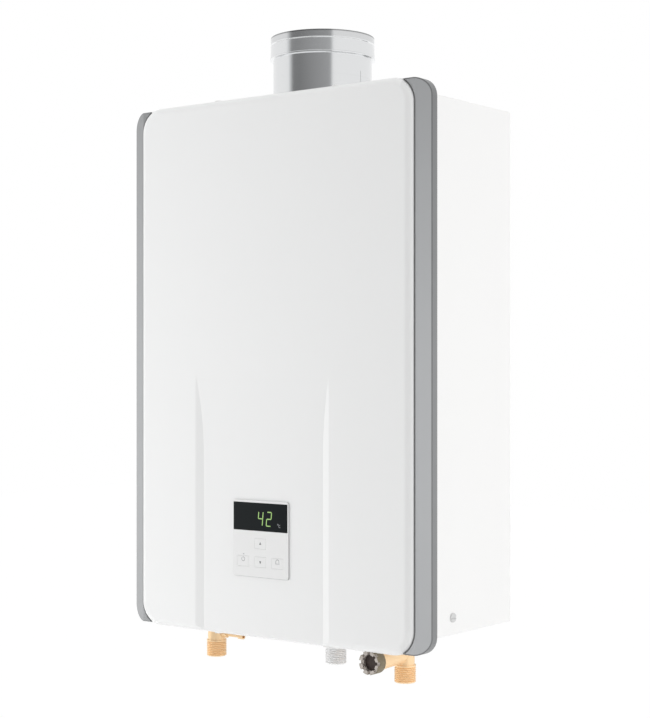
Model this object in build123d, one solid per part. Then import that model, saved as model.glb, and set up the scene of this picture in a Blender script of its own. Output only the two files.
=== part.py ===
from build123d import *
import math
import os

# A wall-hung gas water heater as separate pieces, in millimetres, +Z up.
# The wall is the plane Y = 0 and the front faces -Y.
# The origin is the centre of the four wall screw holes, at mid height of the front cover.

# Front cover
cover_width = 370.0
cover_height = 530.0
overall_depth = 156.0
cover_depth = 19.0
cover_corner_radius = 24.0
cover_sheet = 1.0
panel_edge_radius = 8.0

# Grey side trims
trim_width = 16.0
trim_corner_radius = 17.0
trim_end_drop = 2.2
trim_setback = 5.0
trim_bevel_drop = 6.4
trim_wall = 1.4
trim_fit = 0.1
trim_groove = 1.2
trim_tip_share = 0.5

# Pressed recess in the lower part of the front cover
recess_width = 168.0
recess_centre_x = -8.3
recess_depth = 2.4
recess_wall_run = 9.0
recess_top_z = -3.0
recess_ramp_length = 86.0
recess_brow_length = 6.0
recess_foot_radius = 5.0
recess_lead = 0.05

# Control unit in the recess
control_width = 70.0
control_height = 75.0
control_centre_x = -8.8
control_centre_z = -167.7
fascia_proud = 1.5
fascia_plate = 2.4
fascia_corner_radius = 2.5
fascia_edge_radius = 0.6
fascia_seat = 3.0
fascia_fit = 0.3
fascia_rim_depth = 9.0
fascia_rim_wall = 1.5
window_margin = 1.0
window_drop = 2.2
window_height = 27.5
window_thickness = 0.9
window_fit = 0.1
display_width = 44.0
display_height = 18.0
display_gap = 0.6
board_sheet = 1.5
board_fit = 0.7
post_radius = 2.3
post_inset = 3.4

# Keys of the control unit
key_width = 14.0
key_height = 10.0
key_gap = 0.12
key_edge_radius = 0.1
key_side_pitch = 21.5
key_up_share = 0.2715
key_row_share = 0.667
key_flange = 0.6
key_flange_sheet = 1.0
key_flange_fit = 0.2
key_stem_radius = 2.0
key_stem_length = 3.2
key_travel = 0.8
switch_gap = 0.2
switch_size = 6.0
switch_height = 1.7

# Case behind the cover
case_side_gap = 3.0
case_end_gap = 17.0
case_sheet = 1.2
case_bend_radius = 2.0
rim_lap = 1.0
rim_fit = 0.3
rim_flange = 10.0
lip_reach = 6.0
lip_gap = 0.4
lip_end_gap = 13.0
cover_screw_x = 74.0
tab_height = 27.0
tab_front_margin = 12.0
tab_rear_margin = 20.0

# Wall brackets
bracket_sheet = 2.0
bracket_width = 160.0
bracket_lap = 36.0
bracket_rise = 42.0
bracket_corner_radius = 8.0
wall_hole_radius = 3.25
wall_hole_x = 60.0
wall_hole_margin = 14.0
keyhole_radius = 6.0
keyhole_slot_radius = 3.0
keyhole_rise = 9.0

# Screws
screw_radius = 1.9
screw_head_radius = 4.4
screw_head_height = 2.0
screw_length = 7.0
screw_gap = 0.2
side_screw_front = 31.0
side_screw_rise = 16.0

# Flue
flue_tube_radius = 49.8
flue_sheet = 1.0
flue_rise = 61.0
collar_radius = 52.7
collar_socket_radius = 50.8
collar_height = 22.6
collar_flare = 0.6
collar_bead_drop = 7.0
collar_bead = 0.6
collar_draw = 0.3
collar_hem = 1.6
flue_rear_share = 0.412
flue_flange_width = 116.0
flue_flange_gap = 2.0
flue_flange_sheet = 1.5
flue_screw_inset = 8.0
seal_height = 2.2
seal_width = 2.2
seal_groove = 0.6
seal_gap = 0.3
seal_fit = 0.05
exhaust_socket_radius = 30.2
exhaust_wall = 0.8
exhaust_top_drop = 8.0
spider_count = 3
spider_sheet = 2.0
spider_height = 14.0
spider_drop = 20.0
spider_fit = 0.2

# Bays round the combustion chamber and the stack of burner, chamber and hood
side_bay = 66.0
front_bay = 30.0
rear_bay = 17.0
burner_rise = 139.0
burner_height = 81.0
hood_gap = 25.0
hood_height = 46.0
hood_neck_width = 72.0
hood_stop = 1.2
hood_sheet = 1.0
chamber_sheet = 1.0
chamber_corner_radius = 12.0

# Heat exchanger
tube_radius = 6.35
tube_wall = 0.8
tube_pitch = 15.5
tube_margin = 9.5
tube_drop = 30.0
tube_hole_gap = 0.05
u_reach = 13.5
u_bend_share = 0.49
elbow_radius = 13.0
elbow_reach = 15.0
inlet_drop = 26.0
outlet_reach = 9.0
union_radius = 8.5
union_length = 11.0
fin_sheet = 0.5
fin_pitch = 7.5
fin_height = 56.0
fin_fit = 0.4

# Coil on the chamber and the pipes beside it
coil_gap = 0.3
coil_foot = 26.0
coil_head = 46.0
coil_rise = 40.0
coil_lead = 20.0
coil_lead_bend = 14.0
riser_offset = 31.0
riser_bend = 16.0
riser_stub = 10.0
riser_climb = 27.0
hot_bend = 16.0
hot_stub = 40.0
hot_jog = 60.0

# Burner
burner_sheet = 0.8
burner_inset = 2.0
burner_flange = 5.0
burner_flange_sheet = 1.0
bar_width = 9.0
bar_pitch = 18.0
bar_height = 56.0
bar_top_drop = 9.0
bar_port_width = 2.0
bar_port_depth = 6.0
bar_port_count = 3
bar_throat_radius = 4.2
bar_throat_depth = 22.0
nozzle_radius = 2.6
nozzle_gap = 0.5
nozzle_base_radius = 4.6
nozzle_base = 2.0
nozzle_length = 4.0
nozzle_jet_radius = 0.8
manifold_depth = 16.0
manifold_height = 18.0
manifold_rise = 27.0
manifold_end = 9.0
manifold_edge_radius = 3.0
manifold_bore = 5.5
manifold_wall = 4.0

# Gas valve
gas_x = 27.0
pipe_line_forward = 16.0
valve_width = 52.0
valve_depth = 50.0
valve_height = 52.0
valve_forward = 25.0
valve_rise = 37.0
valve_edge_radius = 4.0
gas_coil_radius = 10.0
gas_coil_length = 23.0
gas_coil_pitch = 21.0
gas_coil_end = 2.0
gas_coil_edge_radius = 2.0
valve_pocket_radius = 8.5
valve_pocket_depth = 18.0
valve_seat_bore = 5.0
valve_seat_depth = 10.0
plunger_radius = 4.0
plunger_fit = 0.05
plunger_length = 30.0
plunger_disc_radius = 7.5
plunger_disc = 3.0
plunger_seat_gap = 0.2
feed_radius = 8.0
feed_wall = 1.2
feed_setback = 13.0
feed_bend = 12.0
feed_stub = 24.0
feed_head = 22.0

# Threaded pipe ends under the case
thread_radius = 10.478
thread_pitch = 1.814
thread_depth = 1.1
thread_land_share = 0.2
thread_chamfer = 1.0
thread_length = 17.0
fitting_bore = 7.0
fitting_neck_radius = 9.2
fitting_neck = 25.0
fitting_body_radius = 11.0
fitting_flange_radius = 17.0
fitting_flange = 4.0
fitting_hole_gap = 0.4
pipe_socket = 8.0
pipe_socket_gap = 0.05
water_drop = 56.0
gas_drop = 47.0
gas_hex_across = 24.0
gas_hex_height = 8.0
gas_neck_radius = 9.0

# Cold inlet, filter and flow control
cold_x = 110.5
cold_rise = 23.0
branch_rise = 29.2
branch_reach = 48.0
branch_radius = 9.4
branch_root_radius = 7.6
branch_root_reach = 9.0
branch_bore = 5.7
cap_radius = 11.2
cap_length = 12.0
cap_recess_radius = 7.7
cap_recess_depth = 5.0
cap_teeth = 8
cap_notch_width = 3.2
cap_notch_depth = 3.0
cap_plug_length = 10.0
cap_plug_fit = 0.1
strainer_length = 26.0
strainer_wall = 0.6
strainer_fit = 0.4
strainer_rows = 4
strainer_slots = 6
strainer_slot_share = 0.45
sensor_height = 42.0
sensor_radius = 15.0
sensor_bore = 9.0
sensor_spider = 3.0
sensor_spider_inset = 4.0
sensor_hub_radius = 3.0
sensor_pickup_width = 16.0
sensor_pickup_depth = 10.0
sensor_pickup_height = 20.0
turbine_hub_radius = 3.0
turbine_tip_gap = 0.4
turbine_end_gap = 3.0
turbine_blade = 0.9
turbine_blades = 6
turbine_pitch_angle = 32.0
turbine_shaft_radius = 1.0
turbine_fit = 0.05
flow_valve_height = 48.0
flow_valve_radius = 14.0
flow_boss_radius = 13.0
flow_boss_reach = 24.0
plug_radius = 8.5
plug_fit = 0.08
plug_back = 9.0
plug_port_radius = 6.0
plug_end_gap = 1.0
plug_stem_radius = 3.0
plug_stem_length = 12.0
flow_motor_width = 36.0
flow_motor_height = 34.0
flow_motor_depth = 25.0
flow_motor_edge_radius = 3.0

# Hot outlet
hot_x = -130.5
hot_rise = 29.0
bleed_rise = 27.0
bleed_reach = 37.0
bleed_radius = 1.7
bleed_boss_radius = 3.4
bleed_boss_reach = 15.0
bleed_end_radius = 3.0
bleed_end = 6.0
bleed_bore = 1.0
bleed_mouth_radius = 1.9
bleed_mouth = 3.0
bleed_fit = 0.1
thermistor_boss_radius = 6.0
thermistor_boss_reach = 14.0
thermistor_rise = 17.0
thermistor_radius = 5.0
thermistor_length = 12.0
thermistor_tip_radius = 2.0
thermistor_tip = 10.0
thermistor_fit = 0.1

# Fan under the burner
fan_x = -62.0
fan_drop = 60.0
scroll_radius = 52.0
scroll_depth = 57.0
scroll_setback = 9.0
scroll_sheet = 1.2
scroll_inlet_radius = 31.0
scroll_hub_hole_radius = 9.0
wheel_radius = 43.0
wheel_inner_radius = 33.0
wheel_side_gap = 6.0
wheel_sheet = 1.6
wheel_blades = 22
wheel_blade = 1.2
wheel_blade_angle = 25.0
wheel_hub_radius = 7.0
wheel_hub_length = 16.0
fan_shaft_radius = 3.0
fan_shaft_fit = 0.05
fan_shaft_length = 15.0
motor_radius = 28.0
motor_length = 22.0
motor_edge_radius = 4.0
motor_bore_depth = 17.0
motor_foot_radius = 4.5
motor_foot_reach = 32.0
motor_foot_height = 5.0
motor_feet = 3

# Electronics and sensors
tray_wall = 1.5
tray_reach = 20.0
tray_height = 180.0
tray_front = 9.0
tray_rear = 21.8
tray_rise = 17.0
tray_post_radius = 4.0
tray_post_inset = 10.0
main_board_stand = 8.0
main_board_sheet = 1.6
main_board_fit = 1.0
transformer_size = 36.0
transformer_reach = 15.0
capacitor_radius = 6.5
capacitor_reach = 13.0
capacitor_count = 3
relay_width = 14.0
relay_height = 18.0
relay_reach = 11.0
connector_width = 7.0
connector_height = 16.0
connector_reach = 8.0
component_gap = 5.0
igniter_reach = 26.0
igniter_depth = 50.0
igniter_height = 38.0
igniter_drop = 14.0
igniter_front = 24.0
igniter_edge_radius = 3.0
electrode_x = 45.0
electrode_rise = 18.0
ceramic_radius = 4.0
ceramic_front = 18.0
ceramic_rear = 6.0
ceramic_collar_radius = 7.0
ceramic_collar = 2.0
ceramic_fit = 0.1
electrode_wire_radius = 1.0
electrode_wire_reach = 18.0
lead_radius = 2.2
lead_bend = 8.0
lead_run_forward = 10.0
lead_drop = 40.0
overheat_radius = 8.0
overheat_reach = 8.0
overheat_rise = 28.0
overheat_pin_radius = 3.0
overheat_pin_reach = 5.0
gland_x = -75.0
gland_from_wall = 30.0
gland_radius = 10.0
gland_neck_radius = 6.8
gland_bore = 3.5
gland_drop = 7.0
gland_nut = 5.0
gland_gap = 0.3

# How far every cutter runs past the solid that it cuts
overrun = 3.0

# Planes worked out from the sizes above
cover_half_x = cover_width / 2
cover_half_z = cover_height / 2
panel_half_x = cover_half_x - trim_width
trim_tip_x = panel_half_x - cover_corner_radius * (1 - trim_tip_share)
y_front = -overall_depth
y_skirt = y_front + cover_depth
y_trim = y_front + trim_setback
y_floor = y_front + recess_depth
y_rim = y_skirt - rim_lap
y_back = -bracket_sheet
y_back_in = y_back - case_sheet
case_half_x = cover_half_x - case_side_gap
case_half_z = cover_half_z - case_end_gap
case_in_x = case_half_x - case_sheet
case_in_z = case_half_z - case_sheet
lip_z = cover_half_z - cover_sheet - lip_gap
y_lip_front = y_rim - lip_reach
y_cover_screw = y_rim - lip_reach / 2
wall_hole_z = case_half_z + bracket_rise - wall_hole_margin
flue_free_depth = y_back - y_rim - 2 * flue_tube_radius
flue_y = y_back - flue_tube_radius - flue_rear_share * flue_free_depth
flue_flange_half_y = y_back - flue_flange_gap - flue_y
z_collar = case_half_z + flue_rise
z_seal = z_collar + collar_flare + flue_sheet

chamber_half_x = case_in_x - side_bay
chamber_front_y = y_rim + front_bay
chamber_rear_y = y_back_in - rear_bay
chamber_y = (chamber_front_y + chamber_rear_y) / 2
chamber_depth = chamber_rear_y - chamber_front_y
pipe_line_y = chamber_y - pipe_line_forward
z_burner = -case_half_z + burner_rise
z_chamber = z_burner + burner_height + burner_flange_sheet
z_hood = case_half_z - hood_gap - hood_height
z_hood_top = z_hood + hood_height
z_tubes = z_hood - tube_drop
tube_span = chamber_depth - 2 * chamber_sheet - 2 * tube_margin
tube_passes = 1 + 2 * int(tube_span / (2 * tube_pitch))
tube_ys = [chamber_y + (index - (tube_passes - 1) / 2) * tube_pitch for index in range(tube_passes)]
inlet_x = chamber_half_x + elbow_reach
outlet_x = -chamber_half_x - outlet_reach
riser_x = chamber_half_x + riser_offset
riser_y = tube_ys[-1]
z_coil_base = z_chamber + coil_foot
z_coil_top = z_tubes - coil_head
coil_turns = max(1, int((z_coil_top - z_coil_base) / coil_rise))

y_burner_front = chamber_front_y + burner_inset
y_burner_rear = chamber_rear_y - burner_inset
burner_half_x = chamber_half_x - burner_inset
bar_count = int(2 * (burner_half_x - bar_width) / bar_pitch) + 1
bar_xs = [(index - (bar_count - 1) / 2) * bar_pitch for index in range(bar_count)]
z_nozzles = z_burner + manifold_rise
y_manifold_rear = y_burner_front - nozzle_base
y_manifold_front = y_manifold_rear - manifold_depth

fan_z = z_burner - fan_drop
y_scroll_front = chamber_front_y + scroll_setback
y_scroll_rear = y_scroll_front + scroll_depth

z_valve = -case_half_z + valve_rise
z_valve_top = z_valve + valve_height
y_valve_front = pipe_line_y - valve_forward
gas_coil_xs = [gas_x - gas_coil_pitch / 2, gas_x + gas_coil_pitch / 2]
gas_coil_z = z_valve + valve_height / 2
y_valve_pocket = y_valve_front + valve_pocket_depth
feed_y = y_valve_front + feed_setback

z_cold_top = -case_half_z + cold_rise
z_sensor_top = z_cold_top + sensor_height
z_flow_valve_top = z_sensor_top + flow_valve_height
flow_plug_z = z_sensor_top + flow_valve_height / 2
y_flow_boss = pipe_line_y - flow_boss_reach
branch_z = -case_half_z - branch_rise
y_branch = pipe_line_y - branch_reach
z_hot_top = -case_half_z + hot_rise
bleed_z = -case_half_z - bleed_rise - branch_bore

y_fascia = y_floor - fascia_proud
y_plate_rear = y_fascia + fascia_plate
y_key_flange = y_plate_rear + key_flange_fit
y_key_stem = y_key_flange + key_flange_sheet + key_stem_length
y_switch = y_key_stem + key_travel + switch_gap
y_board = y_switch + switch_height
opening_width = control_width - 2 * fascia_seat
opening_height = control_height - 2 * fascia_seat
rim_width = opening_width - 2 * fascia_fit
rim_height = opening_height - 2 * fascia_fit
window_width = control_width - 2 * window_margin
window_z = control_centre_z + control_height / 2 - window_drop - window_height / 2
z_keypad = window_z - window_height / 2
keypad_height = z_keypad - control_centre_z + control_height / 2
key_up_z = z_keypad - key_up_share * keypad_height
key_low_z = z_keypad - key_row_share * keypad_height
key_places = {
    "key_up": (control_centre_x, key_up_z),
    "key_down": (control_centre_x, key_low_z),
    "key_left": (control_centre_x - key_side_pitch, key_low_z),
    "key_right": (control_centre_x + key_side_pitch, key_low_z),
}


def block(x, y, z):
    """A box between the two ends given on each axis."""
    size = Box(abs(x[1] - x[0]), abs(y[1] - y[0]), abs(z[1] - z[0]))
    return Pos((x[0] + x[1]) / 2, (y[0] + y[1]) / 2, (z[0] + z[1]) / 2) * size


def rod_x(y, z, radius, x0, x1):
    """A round bar along X."""
    return Pos((x0 + x1) / 2, y, z) * Rot(0, 90, 0) * Cylinder(radius, abs(x1 - x0))


def rod_y(x, z, radius, y0, y1):
    """A round bar along Y."""
    return Pos(x, (y0 + y1) / 2, z) * Rot(90, 0, 0) * Cylinder(radius, abs(y1 - y0))


def rod_z(x, y, radius, z0, z1):
    """A round bar along Z."""
    return Pos(x, y, (z0 + z1) / 2) * Cylinder(radius, abs(z1 - z0))


def rounded_slab(width, height, radius, y_rear, y_face, x=0, z=0):
    """A plate that faces -Y, with rounded corners."""
    outline = Plane.XZ.offset(-y_rear) * Pos(x, z) * RectangleRounded(width, height, radius)
    return extrude(outline, amount=y_rear - y_face)


def turned(outline, x, y):
    """A solid of revolution about a vertical axis, from points of radius and height."""
    face = make_face(Polyline(*[(radius, 0, height) for radius, height in outline], close=True))
    return Pos(x, y, 0) * revolve(face, Axis.Z)


def pipe(points, bends, radius, wall):
    """A round pipe with straight runs and round bends."""
    path = FilletPolyline(*points, radius=bends)
    ring = Circle(radius) - Circle(radius - wall)
    return sweep(Plane(origin=path @ 0, z_dir=path % 0) * ring, path=path)


def front_edges(solid):
    """The edges round the face that looks furthest to -Y."""
    return solid.faces().sort_by(Axis.Y)[0].edges()


def panel_body(inset, y_rear):
    """The raised white front, drawn in by the inset."""
    width = 2 * (panel_half_x - inset)
    height = cover_height - 2 * inset
    slab = rounded_slab(width, height, cover_corner_radius - inset, y_rear, y_front + inset)
    return fillet(front_edges(slab), panel_edge_radius - inset)


def band_body(inset, y_rear):
    """The body under and round the trims, with its bevelled sides, drawn in by the inset."""
    width = cover_width - 2 * inset
    height = cover_height - 2 * (trim_end_drop + inset)
    slab = rounded_slab(width, height, trim_corner_radius - inset, y_rear, y_trim + inset)
    slope = trim_bevel_drop / trim_width
    y_side = y_trim + inset + slope * (trim_width + overrun)
    wedge_points = [
        (panel_half_x, y_trim + inset),
        (cover_half_x + overrun, y_side),
        (cover_half_x + overrun, y_trim - overrun),
        (panel_half_x, y_trim - overrun),
    ]
    wedge_face = make_face(Polyline(*wedge_points, close=True))
    wedge = extrude(wedge_face, amount=cover_half_z + overrun, both=True)
    return slab - wedge - mirror(wedge, Plane.YZ)


def recess_body(skin):
    """The space of the pressed recess, grown by the skin into the sheet behind it."""
    slope = recess_wall_run / recess_depth
    spread = recess_width / 2 + skin * math.hypot(1, slope)
    depth = recess_depth + recess_lead + skin
    mouth = spread + slope * overrun
    floor = spread - slope * depth
    section = [
        (recess_centre_x - mouth, y_front - overrun),
        (recess_centre_x + mouth, y_front - overrun),
        (recess_centre_x + floor, y_front + depth),
        (recess_centre_x - floor, y_front + depth),
    ]
    channel = extrude(make_face(Polyline(*section, close=True)), amount=cover_height, both=True)
    y_lead = y_front - recess_lead + skin
    y_end = y_floor + skin
    y_clear = y_front - 2 * overrun
    z_end = recess_top_z - recess_ramp_length
    brow_share = recess_brow_length / recess_ramp_length
    middle = (0, y_lead + brow_share * (y_end - y_lead), recess_top_z - recess_brow_length)
    z_clear = -cover_half_z - overrun
    y_foot = y_floor + recess_foot_radius
    z_foot = -cover_half_z + recess_foot_radius
    radius = recess_foot_radius - skin
    turn = radius * math.cos(math.pi / 4)
    mouth_side = Polyline((0, y_clear, z_clear), (0, y_clear, recess_top_z), (0, y_lead, recess_top_z))
    ramp = TangentArc((0, y_lead, recess_top_z), middle, tangent=(0, 0, -1))
    ramp_end = TangentArc((0, y_end, z_end), middle, tangent=(0, 0, 1))
    bed = Line((0, y_end, z_end), (0, y_end, z_foot))
    heel = ThreePointArc((0, y_end, z_foot), (0, y_foot - turn, z_foot - turn), (0, y_foot, z_foot - radius))
    sole = Polyline((0, y_foot, z_foot - radius), (0, y_foot, z_clear), (0, y_clear, z_clear))
    outline = make_face([mouth_side, ramp, ramp_end, bed, heel, sole])
    profile = extrude(outline, amount=recess_width, both=True, dir=(1, 0, 0))
    return channel & profile


def front_cover():
    """The pressed steel front: raised panel, ledges under the trims, skirt, recess and openings."""
    ledge = trim_wall + trim_fit
    middle = trim_tip_x - trim_fit
    tall = (-cover_half_z - overrun, cover_half_z + overrun)
    deep = (y_front - overrun, y_skirt + overrun)
    outer = panel_body(0, y_skirt) + band_body(ledge, y_skirt)
    outer += band_body(0, y_skirt) & block((-middle, middle), deep, tall)
    outer -= recess_body(0)
    sheet = cover_sheet
    inner_middle = middle - sheet
    rear = y_skirt + overrun
    hollow = panel_body(sheet, rear) + band_body(ledge + sheet, rear)
    hollow += band_body(sheet, rear) & block((-inner_middle, inner_middle), deep, tall)
    hollow -= recess_body(sheet)
    cover = outer - hollow
    opening = rounded_slab(opening_width, opening_height, fascia_corner_radius, y_skirt, y_front,
                           control_centre_x, control_centre_z)
    cover -= opening
    for x in (-cover_screw_x, cover_screw_x):
        cover -= rod_z(x, y_cover_screw, screw_radius + screw_gap, *tall)
    return cover


def right_trim():
    """The grey trim on the right edge of the cover, drawn to a point at each corner."""
    tall = (-cover_half_z - overrun, cover_half_z + overrun)
    deep = (y_front - overrun, y_skirt + overrun)
    side = band_body(0, y_skirt) & block((trim_tip_x, cover_half_x + overrun), deep, tall)
    width = 2 * (panel_half_x + trim_groove)
    height = cover_height + 2 * trim_groove
    panel_room = rounded_slab(width, height, cover_corner_radius + trim_groove, y_skirt + overrun, y_front)
    return side - panel_room - band_body(trim_wall, y_skirt + overrun)


def left_trim():
    """The same trim on the left edge."""
    return mirror(right_trim(), Plane.YZ)


def pan_screw(direction, place):
    """A pan-head screw whose head stands on the place and whose shank runs against the direction."""
    head = Pos(0, 0, screw_head_height / 2) * Cylinder(screw_head_radius, screw_head_height)
    head = fillet(head.edges().sort_by(Axis.Z)[-1], screw_head_height / 2)
    slot = Box(screw_radius, 2 * screw_head_radius, screw_head_height)
    head -= Pos(0, 0, screw_head_height) * slot
    shank = Pos(0, 0, -screw_length / 2) * Cylinder(screw_radius, screw_length)
    return Plane(origin=place, z_dir=direction).location * (head + shank)


def cover_screws():
    """Four screws that hold the cover's skirt to the case."""
    screws = []
    for x in (-cover_screw_x, cover_screw_x):
        screws.append(pan_screw((0, 0, 1), (x, y_cover_screw, cover_half_z)))
        screws.append(pan_screw((0, 0, -1), (x, y_cover_screw, -cover_half_z)))
    return Compound(screws)


def control_fascia():
    """The white plastic front of the control unit, with its window seat, key holes, rim and posts."""
    plate = rounded_slab(control_width, control_height, fascia_corner_radius, y_floor, y_fascia,
                         control_centre_x, control_centre_z)
    plate = fillet(front_edges(plate), fascia_edge_radius)
    rim_radius = fascia_corner_radius - fascia_fit
    y_rim_rear = y_plate_rear + fascia_rim_depth
    rim = rounded_slab(rim_width, rim_height, rim_radius, y_rim_rear, y_floor,
                       control_centre_x, control_centre_z)
    inside = rounded_slab(rim_width - 2 * fascia_rim_wall, rim_height - 2 * fascia_rim_wall,
                          rim_radius - fascia_rim_wall, y_rim_rear + overrun, y_plate_rear,
                          control_centre_x, control_centre_z)
    fascia = plate + rim - inside
    fascia -= block(
        (control_centre_x - window_width / 2, control_centre_x + window_width / 2),
        (y_fascia - overrun, y_fascia + window_thickness),
        (window_z - window_height / 2, window_z + window_height / 2),
    )
    view_half_x = display_width / 2 + display_gap
    view_half_z = display_height / 2 + display_gap
    fascia -= block(
        (control_centre_x - view_half_x, control_centre_x + view_half_x),
        (y_fascia, y_plate_rear + overrun),
        (window_z - view_half_z, window_z + view_half_z),
    )
    for x, z in key_places.values():
        half_x = key_width / 2 + key_gap
        half_z = key_height / 2 + key_gap
        deep = (y_fascia - overrun, y_plate_rear)
        fascia -= block((x - half_x, x + half_x), deep, (z - half_z, z + half_z))
    for x, z in control_posts():
        fascia += rod_y(x, z, post_radius, y_plate_rear, y_board)
    return fascia


def control_posts():
    """Places of the four posts that carry the control board."""
    half_x = rim_width / 2 - fascia_rim_wall - post_inset
    high = control_centre_z + rim_height / 2 - fascia_rim_wall - post_inset
    low = key_low_z + key_height / 2 + key_flange + post_inset
    return [(control_centre_x + side * half_x, z) for side in (-1, 1) for z in (low, high)]


def display_window():
    """The dark window over the display."""
    half_x = window_width / 2 - window_fit
    half_z = window_height / 2 - window_fit
    return block(
        (control_centre_x - half_x, control_centre_x + half_x),
        (y_fascia, y_fascia + window_thickness),
        (window_z - half_z, window_z + half_z),
    )


def display_module():
    """The two-digit lamp block on the control board."""
    return block(
        (control_centre_x - display_width / 2, control_centre_x + display_width / 2),
        (y_plate_rear + display_gap, y_board),
        (window_z - display_height / 2, window_z + display_height / 2),
    )


def control_board():
    """The control unit's circuit board with one switch behind each key."""
    half_x = rim_width / 2 - fascia_rim_wall - board_fit
    half_z = rim_height / 2 - fascia_rim_wall - board_fit
    board = block(
        (control_centre_x - half_x, control_centre_x + half_x),
        (y_board, y_board + board_sheet),
        (control_centre_z - half_z, control_centre_z + half_z),
    )
    for x, z in key_places.values():
        half = switch_size / 2
        board += block((x - half, x + half), (y_switch, y_board), (z - half, z + half))
    return board


def key(name):
    """A push key: cap, retaining flange behind the fascia, and stem."""
    x, z = key_places[name]
    cap = block(
        (x - key_width / 2, x + key_width / 2),
        (y_fascia, y_key_flange + key_flange_sheet),
        (z - key_height / 2, z + key_height / 2),
    )
    cap = fillet(front_edges(cap), key_edge_radius)
    half_x = key_width / 2 + key_flange
    half_z = key_height / 2 + key_flange
    deep = (y_key_flange, y_key_flange + key_flange_sheet)
    flange = block((x - half_x, x + half_x), deep, (z - half_z, z + half_z))
    return cap + flange + rod_y(x, z, key_stem_radius, y_key_flange, y_key_stem)


def rear_edges(solid):
    """The two upright edges at the back of a case piece."""
    return solid.edges().filter_by(Axis.Z).sort_by(Axis.Y)[-2:]


def rim_corners():
    """What the case loses at its front corners to go into the cover's rounded skirt."""
    inset = trim_wall + trim_fit + cover_sheet + rim_fit
    deep = (y_rim - overrun, y_skirt + rim_fit)
    frame = block((-cover_half_x, cover_half_x), deep, (-case_half_z, case_half_z))
    height = cover_height - 2 * (trim_end_drop + inset)
    room = rounded_slab(cover_width - 2 * inset, height, trim_corner_radius - inset,
                        y_skirt + overrun, y_rim - 2 * overrun)
    return frame - room


def case_shell():
    """Back and sides of the case in one folded sheet, with its front flanges and two inner brackets."""
    tall = (-case_in_z, case_in_z)
    outer = block((-case_half_x, case_half_x), (y_rim, y_back), tall)
    outer = fillet(rear_edges(outer), case_bend_radius)
    open_tall = (-case_in_z - overrun, case_in_z + overrun)
    inner = block((-case_in_x, case_in_x), (y_rim - overrun, y_back_in), open_tall)
    inner = fillet(rear_edges(inner), case_bend_radius - case_sheet)
    shell = outer - inner
    for side in (-1, 1):
        edge = side * case_in_x
        shell += block((edge, edge - side * rim_flange), (y_rim, y_rim + case_sheet), tall)
        shell -= rod_x(y_rim + side_screw_front, -case_half_z + side_screw_rise, screw_radius + screw_gap,
                       side * (case_in_x - overrun), side * (case_half_x + overrun))
        shell += burner_bracket(side * burner_half_x / 2)
    return shell - rim_corners()


def burner_bracket(x):
    """A folded bracket that carries the burner box off the back panel."""
    half = bar_pitch / 2
    low = z_burner + bar_width
    high = z_burner + burner_height / 2
    solid = block((x - half, x + half), (y_burner_rear, y_back_in), (low, high))
    inside = block((x - half - overrun, x + half + overrun), (y_burner_rear + case_sheet, y_back_in),
                   (low + case_sheet, high - case_sheet))
    return solid - inside


def end_plate(side):
    """Top (+1) or bottom (-1) sheet of the case with the upright flange and lip that hold the cover."""
    z_in = side * case_in_z
    z_out = side * case_half_z
    plate = block((-case_half_x, case_half_x), (y_rim, y_back), (z_in, z_out))
    plate = fillet(rear_edges(plate), case_bend_radius)
    half = trim_tip_x - lip_end_gap
    plate += block((-half, half), (y_rim, y_rim + case_sheet), (z_out, side * lip_z))
    lip_in = side * (lip_z - case_sheet)
    plate += block((-half, half), (y_lip_front, y_rim + case_sheet), (lip_in, side * lip_z))
    slot = screw_radius + screw_gap
    for x in (-cover_screw_x, cover_screw_x):
        z_low = side * (lip_z - case_sheet - overrun)
        z_high = side * (lip_z + overrun)
        plate -= block((x - slot, x + slot), (y_lip_front - overrun, y_cover_screw), (z_low, z_high))
        plate -= rod_z(x, y_cover_screw, slot, z_low, z_high)
    return plate - rim_corners()


def flue_screw_places():
    """Places of the four screws in the flue flange."""
    reach_x = flue_flange_width / 2 - flue_screw_inset
    reach_y = flue_flange_half_y - flue_screw_inset
    return [(a * reach_x, flue_y + b * reach_y) for a in (-1, 1) for b in (-1, 1)]


def case_top():
    """Top sheet of the case with the hole under the flue."""
    plate = end_plate(1)
    z = (case_in_z - overrun, case_half_z + overrun)
    plate -= rod_z(0, flue_y, flue_tube_radius - flue_sheet, *z)
    for x, y in flue_screw_places():
        plate -= rod_z(x, y, screw_radius + screw_gap, *z)
    return plate


def case_bottom():
    """Bottom sheet of the case with the pipe holes, the gland hole and two side tabs."""
    plate = end_plate(-1)
    z = (-case_half_z - overrun, -case_in_z + overrun)
    for side in (-1, 1):
        edge = side * case_in_x
        tab_y = (y_rim + tab_front_margin, y_back_in - tab_rear_margin)
        tab = block((edge, edge - side * case_sheet), tab_y, (-case_in_z, -case_half_z + tab_height))
        tab -= rod_x(y_rim + side_screw_front, -case_half_z + side_screw_rise, screw_radius + screw_gap,
                     edge - side * overrun, edge + side * overrun)
        plate += tab
    for x in (hot_x, cold_x):
        plate -= rod_z(x, pipe_line_y, fitting_body_radius + fitting_hole_gap, *z)
    plate -= rod_z(gas_x, pipe_line_y, gas_neck_radius + fitting_hole_gap, *z)
    plate -= rod_z(gland_x, -gland_from_wall, gland_neck_radius + gland_gap, *z)
    return plate


def bracket_plate(side):
    """A wall bracket on the back panel, above (+1) or below (-1) the case, with two screw holes."""
    z_near = side * (case_in_z - bracket_lap)
    z_far = side * (case_half_z + bracket_rise)
    height = abs(z_far - z_near)
    plate = rounded_slab(bracket_width, height, bracket_corner_radius, 0, y_back, 0, (z_near + z_far) / 2)
    for x in (-wall_hole_x, wall_hole_x):
        plate -= rod_y(x, side * wall_hole_z, wall_hole_radius, y_back - overrun, overrun)
    return plate


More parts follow.
